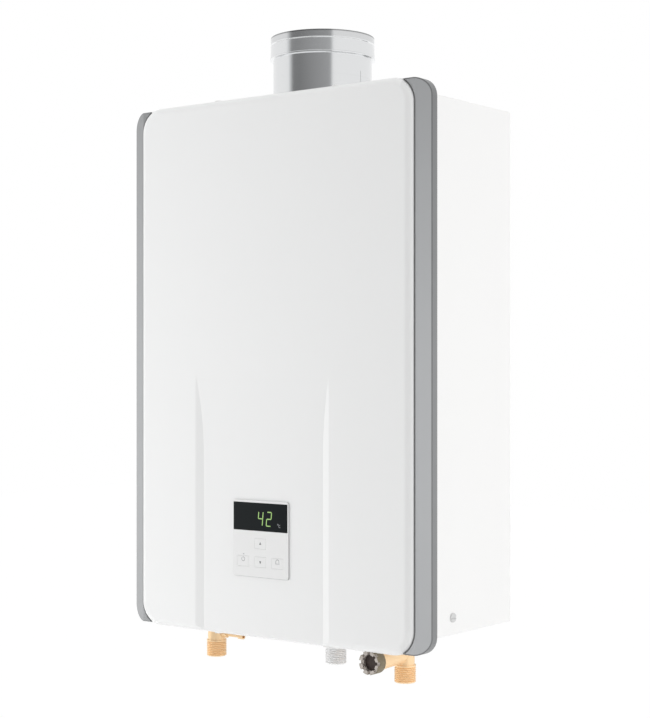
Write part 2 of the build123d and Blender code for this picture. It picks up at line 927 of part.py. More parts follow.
def top_bracket():
    """The upper wall bracket, with a keyhole for hanging the heater on a hook."""
    deep = (y_back - overrun, overrun)
    z_slot = wall_hole_z + keyhole_slot_radius
    z_round = z_slot - keyhole_rise
    plate = bracket_plate(1)
    plate -= rod_y(0, z_round, keyhole_radius, *deep)
    plate -= rod_y(0, z_slot, keyhole_slot_radius, *deep)
    plate -= block((-keyhole_slot_radius, keyhole_slot_radius), deep, (z_round, z_slot))
    return plate


def case_screws():
    """Screws of the flue flange and of the case's lower corners."""
    screws = [pan_screw((0, 0, 1), (x, y, case_half_z + flue_flange_sheet)) for x, y in flue_screw_places()]
    for side in (-1, 1):
        place = (side * case_half_x, y_rim + side_screw_front, -case_half_z + side_screw_rise)
        screws.append(pan_screw((side, 0, 0), place))
    return Compound(screws)


def flue_outer_tube():
    """The outer flue tube with its screw flange and the collar that takes the next pipe."""
    base = case_half_z
    top = z_collar + collar_height
    bead = top - collar_bead_drop
    lip = collar_radius - collar_draw
    hem = collar_radius + collar_bead
    hem_top = z_collar + collar_flare + collar_hem
    inner = flue_tube_radius - flue_sheet
    groove = collar_socket_radius + seal_groove
    groove_top = z_seal + seal_height + seal_gap
    outline = [
        (inner, base),
        (flue_tube_radius, base),
        (flue_tube_radius, z_collar),
        (hem, z_collar + collar_flare),
        (hem, hem_top - collar_bead),
        (collar_radius, hem_top),
        (lip, bead - 2 * collar_bead),
        (lip + collar_bead, bead - collar_bead),
        (lip, bead),
        (lip, top),
        (collar_socket_radius, top),
        (collar_socket_radius, groove_top),
        (groove, groove_top),
        (groove, z_seal),
        (inner, z_seal),
    ]
    tube = turned(outline, 0, flue_y)
    half_x = flue_flange_width / 2
    half_y = flue_flange_half_y
    flange = block((-half_x, half_x), (flue_y - half_y, flue_y + half_y), (base, base + flue_flange_sheet))
    z = (base - overrun, base + flue_flange_sheet + overrun)
    flange -= rod_z(0, flue_y, inner, *z)
    for x, y in flue_screw_places():
        flange -= rod_z(x, y, screw_radius + screw_gap, *z)
    return tube + flange


def flue_seal():
    """The rubber ring in the groove at the foot of the collar."""
    foot = z_seal + seal_fit
    top = z_seal + seal_height
    outer = collar_socket_radius + seal_groove - seal_gap
    inner = outer - seal_width
    return turned([(inner, foot), (outer, foot), (outer, top), (inner + seal_width / 2, top)], 0, flue_y)


def flue_inner_tube():
    """The exhaust tube in the middle of the flue, with the legs that centre it."""
    top = z_collar - exhaust_top_drop
    outer = exhaust_socket_radius + exhaust_wall
    tube = rod_z(0, flue_y, outer, z_hood_top, top)
    leg_end = flue_tube_radius - flue_sheet - spider_fit
    leg_top = top - spider_drop
    for index in range(spider_count):
        leg = block((exhaust_socket_radius, leg_end), (-spider_sheet / 2, spider_sheet / 2),
                    (leg_top - spider_height, leg_top))
        tube += Pos(0, flue_y, 0) * Rot(0, 0, 90 + index * 360 / spider_count) * leg
    return tube - rod_z(0, flue_y, exhaust_socket_radius, z_hood_top - overrun, top + overrun)


def hood_loft(inset):
    """The tapered body of the exhaust hood, drawn in by the inset."""
    low = Plane.XY.offset(z_hood) * Pos(0, chamber_y) * chamber_outline(inset)
    width = hood_neck_width - 2 * inset
    neck = RectangleRounded(width, width, chamber_corner_radius - inset)
    high = Plane.XY.offset(z_hood_top - inset) * Pos(0, flue_y) * neck
    return loft([low, high])


def exhaust_hood():
    """The hood that gathers the exhaust over the heat exchanger."""
    stop = exhaust_socket_radius - hood_stop
    hood = hood_loft(0) - hood_loft(hood_sheet)
    return hood - rod_z(0, flue_y, stop, z_hood_top - hood_height / 2, z_hood_top + overrun)


def chamber_outline(inset):
    """The chamber's rounded outline seen from above, drawn in by the inset."""
    width = 2 * (chamber_half_x - inset)
    return RectangleRounded(width, chamber_depth - 2 * inset, chamber_corner_radius - inset)


def chamber_prism(inset, low, high):
    """An upright block with the chamber's outline, drawn in by the inset."""
    return extrude(Plane.XY.offset(low) * Pos(0, chamber_y) * chamber_outline(inset), amount=high - low)


def combustion_chamber():
    """The copper chamber, open above and below, with tube and electrode holes."""
    outer = chamber_prism(0, z_chamber, z_hood)
    chamber = outer - chamber_prism(chamber_sheet, z_chamber - overrun, z_hood + overrun)
    for y in tube_ys:
        chamber -= rod_x(y, z_tubes, tube_radius + tube_hole_gap,
                         -chamber_half_x - overrun, chamber_half_x + overrun)
    for x in (-electrode_x, electrode_x):
        chamber -= rod_y(x, z_chamber + electrode_rise, ceramic_radius + ceramic_fit,
                         chamber_front_y - overrun, chamber_front_y + overrun)
    return chamber


def heat_exchanger_fins():
    """The stack of copper fins on the heat exchanger's tubes."""
    y = (chamber_front_y + chamber_sheet + fin_fit, chamber_rear_y - chamber_sheet - fin_fit)
    plate = block((-fin_sheet / 2, fin_sheet / 2), y, (z_tubes - fin_height / 2, z_tubes + fin_height / 2))
    for tube_y in tube_ys:
        plate -= rod_x(tube_y, z_tubes, tube_radius + tube_hole_gap, -overrun, overrun)
    count = int(2 * (chamber_half_x - chamber_corner_radius) / fin_pitch) + 1
    places = [(index - (count - 1) / 2) * fin_pitch for index in range(count)]
    return Compound([Pos(x, 0, 0) * plate for x in places])


def heat_exchanger_tubes():
    """One copper tube that crosses the fins once for each pass, with round return bends."""
    end_x = chamber_half_x + u_reach
    points = [(inlet_x, tube_ys[0], z_tubes - inlet_drop), (inlet_x, tube_ys[0], z_tubes)]
    bends = [elbow_radius]
    side = -1
    for here, after in zip(tube_ys[:-1], tube_ys[1:]):
        points += [(side * end_x, here, z_tubes), (side * end_x, after, z_tubes)]
        bends += [u_bend_share * tube_pitch, u_bend_share * tube_pitch]
        side = -side
    points.append((outlet_x, tube_ys[-1], z_tubes))
    return pipe(points, bends, tube_radius, tube_wall)


def chamber_coil():
    """The copper pipe wound round the chamber, from the riser up to the heat exchanger."""
    reach_x = chamber_half_x + tube_radius + coil_gap
    front = chamber_front_y - tube_radius - coil_gap
    rear = chamber_rear_y + tube_radius + coil_gap
    corners = [(reach_x, front), (-reach_x, front), (-reach_x, rear), (reach_x, rear)] * coil_turns
    coil_bend = chamber_corner_radius + tube_radius + coil_gap
    climb = (z_coil_top - z_coil_base) / (len(corners) + 1)
    points = [(riser_x, riser_y, z_coil_base - coil_lead), (riser_x, riser_y, z_coil_base)]
    points += [(x, y, z_coil_base + climb * (step + 1)) for step, (x, y) in enumerate(corners)]
    points += [(inlet_x, tube_ys[0], z_coil_top), (inlet_x, tube_ys[0], z_tubes - inlet_drop)]
    bends = [coil_lead_bend] + [coil_bend] * len(corners) + [coil_lead_bend]
    return pipe(points, bends, tube_radius, tube_wall)


def riser_pipe():
    """The cold pipe from the flow valve up to the chamber coil."""
    low = z_flow_valve_top - pipe_socket
    points = [
        (cold_x, pipe_line_y, low),
        (cold_x, pipe_line_y, z_flow_valve_top + riser_stub),
        (riser_x, riser_y, z_flow_valve_top + riser_stub + riser_climb),
        (riser_x, riser_y, z_coil_base - coil_lead),
    ]
    return pipe(points, riser_bend, tube_radius, tube_wall)


def hot_pipe():
    """The hot pipe from the heat exchanger down to the hot outlet."""
    high = z_hot_top + hot_stub
    points = [
        (outlet_x, tube_ys[-1], z_tubes),
        (-riser_x, tube_ys[-1], z_tubes),
        (-riser_x, tube_ys[-1], high + hot_jog),
        (hot_x, pipe_line_y, high),
        (hot_x, pipe_line_y, z_hot_top - pipe_socket),
    ]
    return pipe(points, hot_bend, tube_radius, tube_wall)


def pipe_unions():
    """The brass sleeves that join the riser, the coil, the heat exchanger and the hot pipe."""
    half = union_length / 2
    bore = tube_radius + pipe_socket_gap
    sleeves = []
    coil_ends = [(riser_x, riser_y, z_coil_base - coil_lead), (inlet_x, tube_ys[0], z_tubes - inlet_drop)]
    for x, y, z in coil_ends:
        sleeve = rod_z(x, y, union_radius, z - half, z + half)
        sleeves.append(sleeve - rod_z(x, y, bore, z - union_length, z + union_length))
    x = outlet_x
    sleeve = rod_x(tube_ys[-1], z_tubes, union_radius, x - half, x + half)
    sleeves.append(sleeve - rod_x(tube_ys[-1], z_tubes, bore, x - union_length, x + union_length))
    return Compound(sleeves)


def burner_box():
    """The steel box round the burner bars, open above, with an air hole below and nozzle holes in front."""
    tall = (z_burner, z_burner + burner_height)
    outer = block((-burner_half_x, burner_half_x), (y_burner_front, y_burner_rear), tall)
    sheet = burner_sheet
    inner_x = burner_half_x - sheet
    inner_y = (y_burner_front + sheet, y_burner_rear - sheet)
    box = outer - block((-inner_x, inner_x), inner_y, (z_burner + sheet, z_chamber + overrun))
    flange_z = (z_burner + burner_height, z_chamber)
    flange = block((-chamber_half_x - burner_flange, chamber_half_x + burner_flange),
                   (chamber_front_y - burner_flange, chamber_rear_y + burner_flange), flange_z)
    flange -= block((-inner_x, inner_x), inner_y, (z_burner, z_chamber + overrun))
    box += flange
    box -= scroll_duct(scroll_sheet, z_burner + sheet + overrun)
    for x in bar_xs:
        box -= rod_y(x, z_nozzles, nozzle_radius + nozzle_gap,
                     y_burner_front - overrun, y_burner_front + overrun)
    return box


def burner_bars():
    """The row of flat burner bars, each with a throat for its nozzle and ports along its top."""
    y = (y_burner_front + burner_sheet, y_burner_rear - burner_sheet)
    top = z_burner + burner_height - bar_top_drop
    bar = block((-bar_width / 2, bar_width / 2), y, (top - bar_height, top))
    bar -= rod_y(0, z_nozzles, bar_throat_radius, y[0] - overrun, y[0] + bar_throat_depth)
    port_y = (y[0] + bar_width, y[1] - bar_width)
    for index in range(bar_port_count):
        x = (index - (bar_port_count - 1) / 2) * bar_width / bar_port_count
        port_x = (x - bar_port_width / 2, x + bar_port_width / 2)
        bar -= block(port_x, port_y, (top - bar_port_depth, top + overrun))
    return Compound([Pos(x, 0, 0) * bar for x in bar_xs])


def gas_manifold():
    """The hollow cast bar that feeds gas to the nozzles."""
    half = bar_xs[-1] + manifold_end
    low = z_nozzles - manifold_height / 2
    body = block((-half, half), (y_manifold_front, y_manifold_rear), (low, low + manifold_height))
    body = fillet(body.edges().filter_by(Axis.X), manifold_edge_radius)
    middle = (y_manifold_front + y_manifold_rear) / 2
    body -= rod_x(middle, z_nozzles, manifold_bore, -half + manifold_wall, half - manifold_wall)
    body -= rod_z(gas_x, middle, feed_radius - feed_wall, low - overrun, z_nozzles)
    for x in bar_xs:
        body -= rod_y(x, z_nozzles, nozzle_radius, middle, y_manifold_rear + overrun)
    return body


def gas_nozzles():
    """The brass nozzles between the manifold and the burner bars."""
    y_tip = y_burner_front + nozzle_length
    nozzle = rod_y(0, z_nozzles, nozzle_base_radius, y_manifold_rear, y_burner_front)
    nozzle += rod_y(0, z_nozzles, nozzle_radius, y_manifold_rear, y_tip)
    nozzle -= rod_y(0, z_nozzles, nozzle_jet_radius, y_manifold_rear - overrun, y_tip + overrun)
    return Compound([Pos(x, 0, 0) * nozzle for x in bar_xs])


def gas_valve_body():
    """The cast body of the gas valve: a way in from below, two seats with pockets, and a way out above."""
    x = (gas_x - valve_width / 2, gas_x + valve_width / 2)
    body = block(x, (y_valve_front, y_valve_front + valve_depth), (z_valve, z_valve_top))
    body = fillet(body.edges().filter_by(Axis.Z), valve_edge_radius)
    for pocket_x in gas_coil_xs:
        body -= rod_y(pocket_x, gas_coil_z, valve_pocket_radius, y_valve_front - overrun, y_valve_pocket)
        y_seat = y_valve_pocket + valve_seat_depth
        body -= rod_y(pocket_x, gas_coil_z, valve_seat_bore, y_valve_pocket, y_seat)
    body -= rod_z(gas_x, pipe_line_y, fitting_bore, z_valve - overrun, gas_coil_z + valve_seat_bore)
    return body - rod_z(gas_x, feed_y, feed_radius - feed_wall, gas_coil_z, z_valve_top + overrun)


def gas_valve_coils():
    """The two coils on the front of the gas valve, each with a bore for a plunger."""
    y_end = y_valve_front - gas_coil_length
    coil = rod_y(0, gas_coil_z, gas_coil_radius, y_end, y_valve_front)
    coil = fillet(front_edges(coil), gas_coil_edge_radius)
    coil -= rod_y(0, gas_coil_z, plunger_radius + plunger_fit, y_end + gas_coil_end, y_valve_front + overrun)
    return Compound([Pos(x, 0, 0) * coil for x in gas_coil_xs])


def gas_valve_plungers():
    """The two plungers that lift their discs off the gas valve's seats together."""
    disc_end = y_valve_pocket - plunger_seat_gap
    plunger = rod_y(0, gas_coil_z, plunger_radius, disc_end - plunger_length, disc_end)
    plunger += rod_y(0, gas_coil_z, plunger_disc_radius, disc_end - plunger_disc, disc_end)
    return Compound([Pos(x, 0, 0) * plunger for x in gas_coil_xs])


def gas_feed_pipe():
    """The pipe from the gas valve up to the manifold."""
    head_y = (y_manifold_front + y_manifold_rear) / 2
    low = z_nozzles - manifold_height / 2
    points = [
        (gas_x, feed_y, z_valve_top),
        (gas_x, feed_y, z_valve_top + feed_stub),
        (gas_x, head_y, low - feed_head),
        (gas_x, head_y, low),
    ]
    return pipe(points, feed_bend, feed_radius, feed_wall)


def thread_outline(end_z, length):
    """Outline of a male pipe thread that points down, from its end up to its shoulder."""
    root = thread_radius - thread_depth
    land = thread_pitch * thread_land_share
    flank = (thread_pitch - land) / 2
    points = [(thread_radius - thread_chamfer, end_z), (thread_radius, end_z + thread_chamfer)]
    z = end_z + thread_chamfer + land
    while z + 2 * flank + land < end_z + length:
        points += [(thread_radius, z), (root, z + flank), (thread_radius, z + 2 * flank)]
        z += thread_pitch
    points.append((thread_radius, end_z + length))
    return points


def water_fitting(x, rise):
    """A brass pipe end through the bottom sheet: thread, neck, body, flange and pipe socket."""
    end_z = -case_half_z - water_drop
    shoulder = end_z + thread_length
    flange_z = -case_in_z
    top = -case_half_z + rise
    socket = tube_radius + pipe_socket_gap
    outline = [(fitting_bore, end_z)] + thread_outline(end_z, thread_length) + [
        (fitting_neck_radius, shoulder),
        (fitting_neck_radius, shoulder + fitting_neck),
        (fitting_body_radius, shoulder + fitting_neck),
        (fitting_body_radius, flange_z),
        (fitting_flange_radius, flange_z),
        (fitting_flange_radius, flange_z + fitting_flange),
        (fitting_body_radius, flange_z + fitting_flange),
        (fitting_body_radius, top),
        (socket, top),
        (socket, top - pipe_socket),
        (fitting_bore, top - pipe_socket),
    ]
    return turned(outline, x, pipe_line_y)


def cold_inlet_body():
    """The cold inlet with the branch that holds the filter."""
    body = water_fitting(cold_x, cold_rise)
    root_y = pipe_line_y - branch_root_reach
    cone = Cone(branch_root_radius, branch_radius, root_y - y_branch)
    body += Pos(cold_x, (root_y + y_branch) / 2, branch_z) * Rot(90, 0, 0) * cone
    body += rod_y(cold_x, branch_z, branch_root_radius, root_y, pipe_line_y - fitting_bore)
    return body - rod_y(cold_x, branch_z, branch_bore, y_branch - overrun, pipe_line_y)


def filter_cap():
    """The hand cap of the water filter: a notched rim, a sunk face and a plug into the branch."""
    face = y_branch - cap_length
    cap = rod_y(cold_x, branch_z, cap_radius, face, y_branch)
    cap -= rod_y(cold_x, branch_z, cap_recess_radius, face - overrun, face + cap_recess_depth)
    reach = cap_radius + overrun
    for index in range(cap_teeth):
        notch = block((-cap_notch_width / 2, cap_notch_width / 2), (face - overrun, face + cap_notch_depth),
                      (cap_recess_radius - overrun, reach))
        cap -= Pos(cold_x, 0, branch_z) * Rot(0, 360 / cap_teeth * index, 0) * notch
    return cap + rod_y(cold_x, branch_z, branch_bore - cap_plug_fit, y_branch, y_branch + cap_plug_length)


def filter_strainer():
    """The slotted basket behind the filter cap."""
    near = y_branch + cap_plug_length
    far = near + strainer_length
    outer = branch_bore - strainer_fit
    basket = rod_y(cold_x, branch_z, outer, near, far)
    basket -= rod_y(cold_x, branch_z, outer - strainer_wall, near + strainer_wall, far + overrun)
    pitch = strainer_length / (strainer_rows + 1)
    width = pitch * strainer_slot_share
    for row in range(strainer_rows):
        y = near + pitch * (row + 1)
        for index in range(strainer_slots):
            slot = block((-width, width), (y - width / 2, y + width / 2), (0, branch_bore + overrun))
            basket -= Pos(cold_x, 0, branch_z) * Rot(0, 360 / strainer_slots * index, 0) * slot
    return basket


def sensor_spider_zs():
    """Heights of the two bearing spiders of the flow sensor, as their middles."""
    inset = sensor_spider_inset + sensor_spider / 2
    return z_cold_top + inset, z_sensor_top - inset


def flow_sensor_body():
    """The flow sensor's tube with two spiders that carry the turbine, and the pickup on its side."""
    body = rod_z(cold_x, pipe_line_y, sensor_radius, z_cold_top, z_sensor_top)
    body += block(
        (cold_x - sensor_pickup_width / 2, cold_x + sensor_pickup_width / 2),
        (pipe_line_y - sensor_radius - sensor_pickup_depth, pipe_line_y),
        (z_cold_top + sensor_spider, z_cold_top + sensor_spider + sensor_pickup_height),
    )
    body -= rod_z(cold_x, pipe_line_y, sensor_bore, z_cold_top - overrun, z_sensor_top + overrun)
    for z in sensor_spider_zs():
        span = (z - sensor_spider / 2, z + sensor_spider / 2)
        half = sensor_spider / 2
        spider = block((-sensor_radius + half, sensor_radius - half), (-half, half), span)
        spider += block((-half, half), (-sensor_radius + half, sensor_radius - half), span)
        spider += rod_z(0, 0, sensor_hub_radius, *span)
        spider -= rod_z(0, 0, turbine_shaft_radius + turbine_fit, span[0] - overrun, span[1] + overrun)
        body += Pos(cold_x, pipe_line_y, 0) * spider
    return body


def flow_turbine():
    """The turbine that spins in the flow sensor."""
    low, high = sensor_spider_zs()
    half = sensor_spider / 2
    hub = rod_z(0, 0, turbine_hub_radius, low + half + turbine_end_gap, high - half - turbine_end_gap)
    wheel = hub + rod_z(0, 0, turbine_shaft_radius, low - half, high + half)
    tip = sensor_bore - turbine_tip_gap
    middle = (low + high) / 2
    length = high - low - sensor_spider - 4 * turbine_end_gap
    room = rod_z(0, 0, tip, low, high)
    for index in range(turbine_blades):
        blade = Pos(tip / 2, 0, middle) * Rot(turbine_pitch_angle, 0, 0) * Box(tip, turbine_blade, length)
        wheel += Rot(0, 0, 360 / turbine_blades * index) * (blade & room)
    return Pos(cold_x, pipe_line_y, 0) * wheel


def flow_valve_body():
    """The flow control valve: a brass body with a cross bore for its plug."""
    body = rod_z(cold_x, pipe_line_y, flow_valve_radius, z_sensor_top, z_flow_valve_top)
    body += rod_y(cold_x, flow_plug_z, flow_boss_radius, y_flow_boss, pipe_line_y)
    z_socket = z_flow_valve_top - pipe_socket
    body -= rod_z(cold_x, pipe_line_y, fitting_bore, z_sensor_top - overrun, z_socket)
    body -= rod_z(cold_x, pipe_line_y, tube_radius + pipe_socket_gap, z_socket, z_flow_valve_top + overrun)
    y_bore = pipe_line_y + plug_back
    return body - rod_y(cold_x, flow_plug_z, plug_radius + plug_fit, y_flow_boss - overrun, y_bore)


def flow_valve_plug():
    """The turning plug of the flow valve, with its water port and its stem into the motor."""
    front = y_flow_boss + plug_end_gap
    rear = pipe_line_y + plug_back - plug_end_gap
    plug = rod_y(cold_x, flow_plug_z, plug_radius, front, rear)
    plug -= rod_z(cold_x, pipe_line_y, plug_port_radius, z_sensor_top, z_flow_valve_top)
    return plug + rod_y(cold_x, flow_plug_z, plug_stem_radius, y_flow_boss - plug_stem_length, front)


def flow_valve_motor():
    """The small geared motor that turns the flow valve's plug."""
    x = (cold_x - flow_motor_width / 2, cold_x + flow_motor_width / 2)
    z = (flow_plug_z - flow_motor_height / 2, flow_plug_z + flow_motor_height / 2)
    motor = block(x, (y_flow_boss - flow_motor_depth, y_flow_boss), z)
    motor = fillet(motor.edges().filter_by(Axis.Y), flow_motor_edge_radius)
    y_bore = y_flow_boss - plug_stem_length - plug_end_gap
    return motor - rod_y(cold_x, flow_plug_z, plug_stem_radius + plug_fit, y_bore, y_flow_boss + overrun)


def hot_outlet_body():
    """The hot outlet with a flat boss for the thermistor and a socket for the bleed nipple."""
    body = water_fitting(hot_x, hot_rise)
    thermistor_z = -case_half_z + thermistor_rise
    y_boss = pipe_line_y - thermistor_boss_reach
    y_root = pipe_line_y - fitting_bore - tube_wall
    body += rod_y(hot_x, thermistor_z, thermistor_boss_radius, y_boss, y_root)
    body -= rod_y(hot_x, thermistor_z, thermistor_tip_radius + thermistor_fit, y_boss - overrun, pipe_line_y)
    return body - rod_x(pipe_line_y, bleed_z, bleed_radius + bleed_fit, hot_x, hot_x + fitting_body_radius)


def hot_bleed_nipple():
    """The small open nipple on the side of the hot outlet."""
    neck = hot_x + fitting_neck_radius
    start = neck - fitting_neck_radius + fitting_bore
    end = hot_x + bleed_reach
    nipple = rod_x(pipe_line_y, bleed_z, bleed_radius, start, end)
    nipple += rod_x(pipe_line_y, bleed_z, bleed_boss_radius, neck, hot_x + bleed_boss_reach)
    nipple += rod_x(pipe_line_y, bleed_z, bleed_end_radius, end - bleed_end, end)
    nipple -= rod_x(pipe_line_y, bleed_z, bleed_bore, start - overrun, end)
    return nipple - rod_x(pipe_line_y, bleed_z, bleed_mouth_radius, end - bleed_mouth, end + overrun)


def hot_thermistor():
    """The temperature probe in the hot outlet."""
    z = -case_half_z + thermistor_rise
    y_boss = pipe_line_y - thermistor_boss_reach
    probe = rod_y(hot_x, z, thermistor_radius, y_boss - thermistor_length, y_boss)
    return probe + rod_y(hot_x, z, thermistor_tip_radius, y_boss, y_boss + thermistor_tip)


def gas_inlet_nipple():
    """The zinc-plated gas inlet: thread, hexagon, neck and flange up to the gas valve."""
    end_z = -case_half_z - gas_drop
    shoulder = end_z + thread_length
    outline = [(fitting_bore, end_z)] + thread_outline(end_z, thread_length) + [
        (gas_neck_radius, shoulder),
        (gas_neck_radius, -case_in_z),
        (fitting_flange_radius, -case_in_z),
        (fitting_flange_radius, -case_in_z + fitting_flange),
        (gas_neck_radius, -case_in_z + fitting_flange),
        (gas_neck_radius, z_valve),
        (fitting_bore, z_valve),
    ]
    nipple = turned(outline, gas_x, pipe_line_y)
    hexagon = RegularPolygon(gas_hex_across / 2, 6, major_radius=False) - Circle(fitting_bore)
    hex_plane = Plane.XY.offset(shoulder) * Pos(gas_x, pipe_line_y)
    return nipple + extrude(hex_plane * hexagon, amount=gas_hex_height)


def scroll_duct(inset, top):
    """The straight outlet of the fan scroll, drawn in by the inset."""
    x = (fan_x + inset, fan_x + scroll_radius - inset)
    return block(x, (y_scroll_front + inset, y_scroll_rear - inset), (fan_z, top))


def fan_scroll():
    """The fan's housing: a round drum with a straight outlet up into the burner box."""
    drum = rod_y(fan_x, fan_z, scroll_radius, y_scroll_front, y_scroll_rear)
    housing = drum + scroll_duct(0, z_burner)
    sheet = scroll_sheet
    hollow = rod_y(fan_x, fan_z, scroll_radius - sheet, y_scroll_front + sheet, y_scroll_rear - sheet)
    housing -= hollow + scroll_duct(sheet, z_burner + overrun)
    front = (y_scroll_front - overrun, y_scroll_front + overrun)
    rear = (y_scroll_rear - overrun, y_scroll_rear + overrun)
    housing -= rod_y(fan_x, fan_z, scroll_hub_hole_radius, *front)
    return housing - rod_y(fan_x, fan_z, scroll_inlet_radius, *rear)


def fan_impeller():
    """The fan wheel: disc, blades, rim and hub in one piece with its shaft."""
    disc_y = y_scroll_front + wheel_side_gap
    rim_y = y_scroll_rear - wheel_side_gap
    wheel = rod_y(0, 0, wheel_radius, disc_y, disc_y + wheel_sheet)
    wheel += rod_y(0, 0, wheel_hub_radius, disc_y, disc_y + wheel_hub_length)
    rim = rod_y(0, 0, wheel_radius, rim_y - wheel_sheet, rim_y)
    wheel += rim - rod_y(0, 0, wheel_inner_radius, rim_y - wheel_sheet - overrun, rim_y + overrun)
    middle = (wheel_radius + wheel_inner_radius) / 2
    length = (wheel_radius - wheel_inner_radius) * math.cos(math.radians(wheel_blade_angle))
    for index in range(wheel_blades):
        blade = block((-length / 2, length / 2), (disc_y, rim_y), (-wheel_blade / 2, wheel_blade / 2))
        place = Rot(0, 360 / wheel_blades * index, 0) * Pos(middle, 0, 0) * Rot(0, wheel_blade_angle, 0)
        wheel += place * blade
    wheel += rod_y(0, 0, fan_shaft_radius, y_scroll_front - fan_shaft_length, disc_y)
    return Pos(fan_x, 0, fan_z) * wheel


def fan_motor():
    """The fan's motor on the front of the scroll, on three feet."""
    y_front_end = y_scroll_front - motor_length
    motor = rod_y(fan_x, fan_z, motor_radius, y_front_end, y_scroll_front)
    motor = fillet(front_edges(motor), motor_edge_radius)
    for index in range(motor_feet):
        angle = 2 * math.pi * index / motor_feet + math.pi / 2
        x = fan_x + motor_foot_reach * math.cos(angle)
        z = fan_z + motor_foot_reach * math.sin(angle)
        motor += rod_y(x, z, motor_foot_radius, y_scroll_front - motor_foot_height, y_scroll_front)
    y_bore = y_scroll_front - motor_bore_depth
    return motor - rod_y(fan_x, fan_z, fan_shaft_radius + fan_shaft_fit, y_bore, y_scroll_front + overrun)


def tray_spans():
    """The board tray's ends along Y and along Z."""
    z0 = z_burner + tray_rise
    return (y_rim + tray_front, y_back_in - tray_rear), (z0, z0 + tray_height)


def board_tray():
    """The open plastic tray on the left side of the case that holds the main board."""
    y, z = tray_spans()
    back = -case_in_x
    tray = block((back, back + tray_reach), y, z)
    tray -= block((back + tray_wall, back + tray_reach + overrun), (y[0] + tray_wall, y[1] - tray_wall),
                  (z[0] + tray_wall, z[1] - tray_wall))
    for post_y in (y[0] + tray_post_inset, y[1] - tray_post_inset):
        for post_z in (z[0] + tray_post_inset, z[1] - tray_post_inset):
            tray += rod_x(post_y, post_z, tray_post_radius, back, back + main_board_stand)
    return tray


def main_board():
    """The main circuit board."""
    y, z = tray_spans()
    margin = tray_wall + main_board_fit
    x0 = -case_in_x + main_board_stand
    board_y = (y[0] + margin, y[1] - margin)
    return block((x0, x0 + main_board_sheet), board_y, (z[0] + margin, z[1] - margin))


def board_components():
    """The tall parts on the main board: transformer, capacitors, relays and connectors."""
    y, z = tray_spans()
    face = -case_in_x + main_board_stand + main_board_sheet
    edge = tray_post_inset + tray_post_radius
    y0 = y[0] + edge
    z0 = z[0] + edge
    row = y[1] - edge - y0 + component_gap
    size = transformer_size
    pieces = [block((face, face + transformer_reach), (y0, y0 + size), (z0, z0 + size))]
    cap_y = y0 + transformer_size + component_gap + capacitor_radius
    for index in range(capacitor_count):
        cap_z = z0 + capacitor_radius + index * (2 * capacitor_radius + component_gap)
        pieces.append(rod_x(cap_y, cap_z, capacitor_radius, face, face + capacitor_reach))
    relay_z = z0 + transformer_size + 4 * component_gap
    for index in range(int(row / (relay_width + component_gap))):
        relay_y = y0 + index * (relay_width + component_gap)
        pieces.append(block((face, face + relay_reach), (relay_y, relay_y + relay_width),
                            (relay_z, relay_z + relay_height)))
    connector_z = relay_z + relay_height + 4 * component_gap
    for index in range(int(row / (connector_width + component_gap))):
        pin_y = y0 + index * (connector_width + component_gap)
        pieces.append(block((face, face + connector_reach), (pin_y, pin_y + connector_width),
                            (connector_z, connector_z + connector_height)))
    return Compound(pieces)


def igniter_spans():
    """The igniter's ends along X, Y and Z."""
    _, tray_z = tray_spans()
    y0 = y_rim + igniter_front
    top = tray_z[0] - igniter_drop
    return (-case_in_x, -case_in_x + igniter_reach), (y0, y0 + igniter_depth), (top - igniter_height, top)


def igniter():
    """The spark unit on the left side of the case."""
    body = block(*igniter_spans())
    return fillet(body.edges().filter_by(Axis.X), igniter_edge_radius)


def electrode_places():
    """Height and left and right places of the spark electrode and the flame rod."""
    return z_chamber + electrode_rise, (-electrode_x, electrode_x)


def electrodes():
    """The spark electrode and the flame rod: ceramic sleeves through the chamber's front, with wires."""
    z, xs = electrode_places()
    y_out = chamber_front_y - ceramic_front
    y_in = chamber_front_y + ceramic_rear
    rods = []
    for x in xs:
        rod = rod_y(x, z, ceramic_radius, y_out, y_in)
        rod += rod_y(x, z, ceramic_collar_radius, chamber_front_y - ceramic_collar, chamber_front_y)
        rods.append(rod + rod_y(x, z, electrode_wire_radius, y_in, y_in + electrode_wire_reach))
    return Compound(rods)


def overheat_switch():
    """The overheat switch on the right wall of the chamber."""
    z = z_chamber + overheat_rise
    body = rod_x(chamber_y, z, overheat_radius, chamber_half_x, chamber_half_x + overheat_reach)
    end = chamber_half_x + overheat_reach + overheat_pin_reach
    return body + rod_x(chamber_y, z, overheat_pin_radius, chamber_half_x, end)


def ignition_lead():
    """The spark lead from the igniter along the front of the burner to the spark electrode."""
    (_, x1), (y0, _), (z0, z1) = igniter_spans()
    z, xs = electrode_places()
    x_start = x1 - igniter_reach / 2
    y_tip = chamber_front_y - ceramic_front
    y_run = y_tip - lead_run_forward
    points = [
        (x_start, y0, (z0 + z1) / 2),
        (x_start, y_run, (z0 + z1) / 2),
        (-chamber_half_x - burner_flange, y_run, z_burner),
        (-chamber_half_x - burner_flange, y_run, z - lead_drop),
        (xs[0], y_run, z),
        (xs[0], y_tip, z),
    ]
    path = FilletPolyline(*points, radius=lead_bend)
    return sweep(Plane(origin=path @ 0, z_dir=path % 0) * Circle(lead_radius), path=path)


def cable_gland():
    """The gland for the mains cord in the bottom sheet."""
    y = -gland_from_wall
    low = -case_half_z - gland_drop
    gland = rod_z(gland_x, y, gland_radius, low, -case_half_z)
    gland += rod_z(gland_x, y, gland_neck_radius, -case_half_z, -case_in_z)
    gland += rod_z(gland_x, y, gland_radius, -case_in_z, -case_in_z + gland_nut)
    return gland - rod_z(gland_x, y, gland_bore, low - overrun, -case_in_z + gland_nut + overrun)


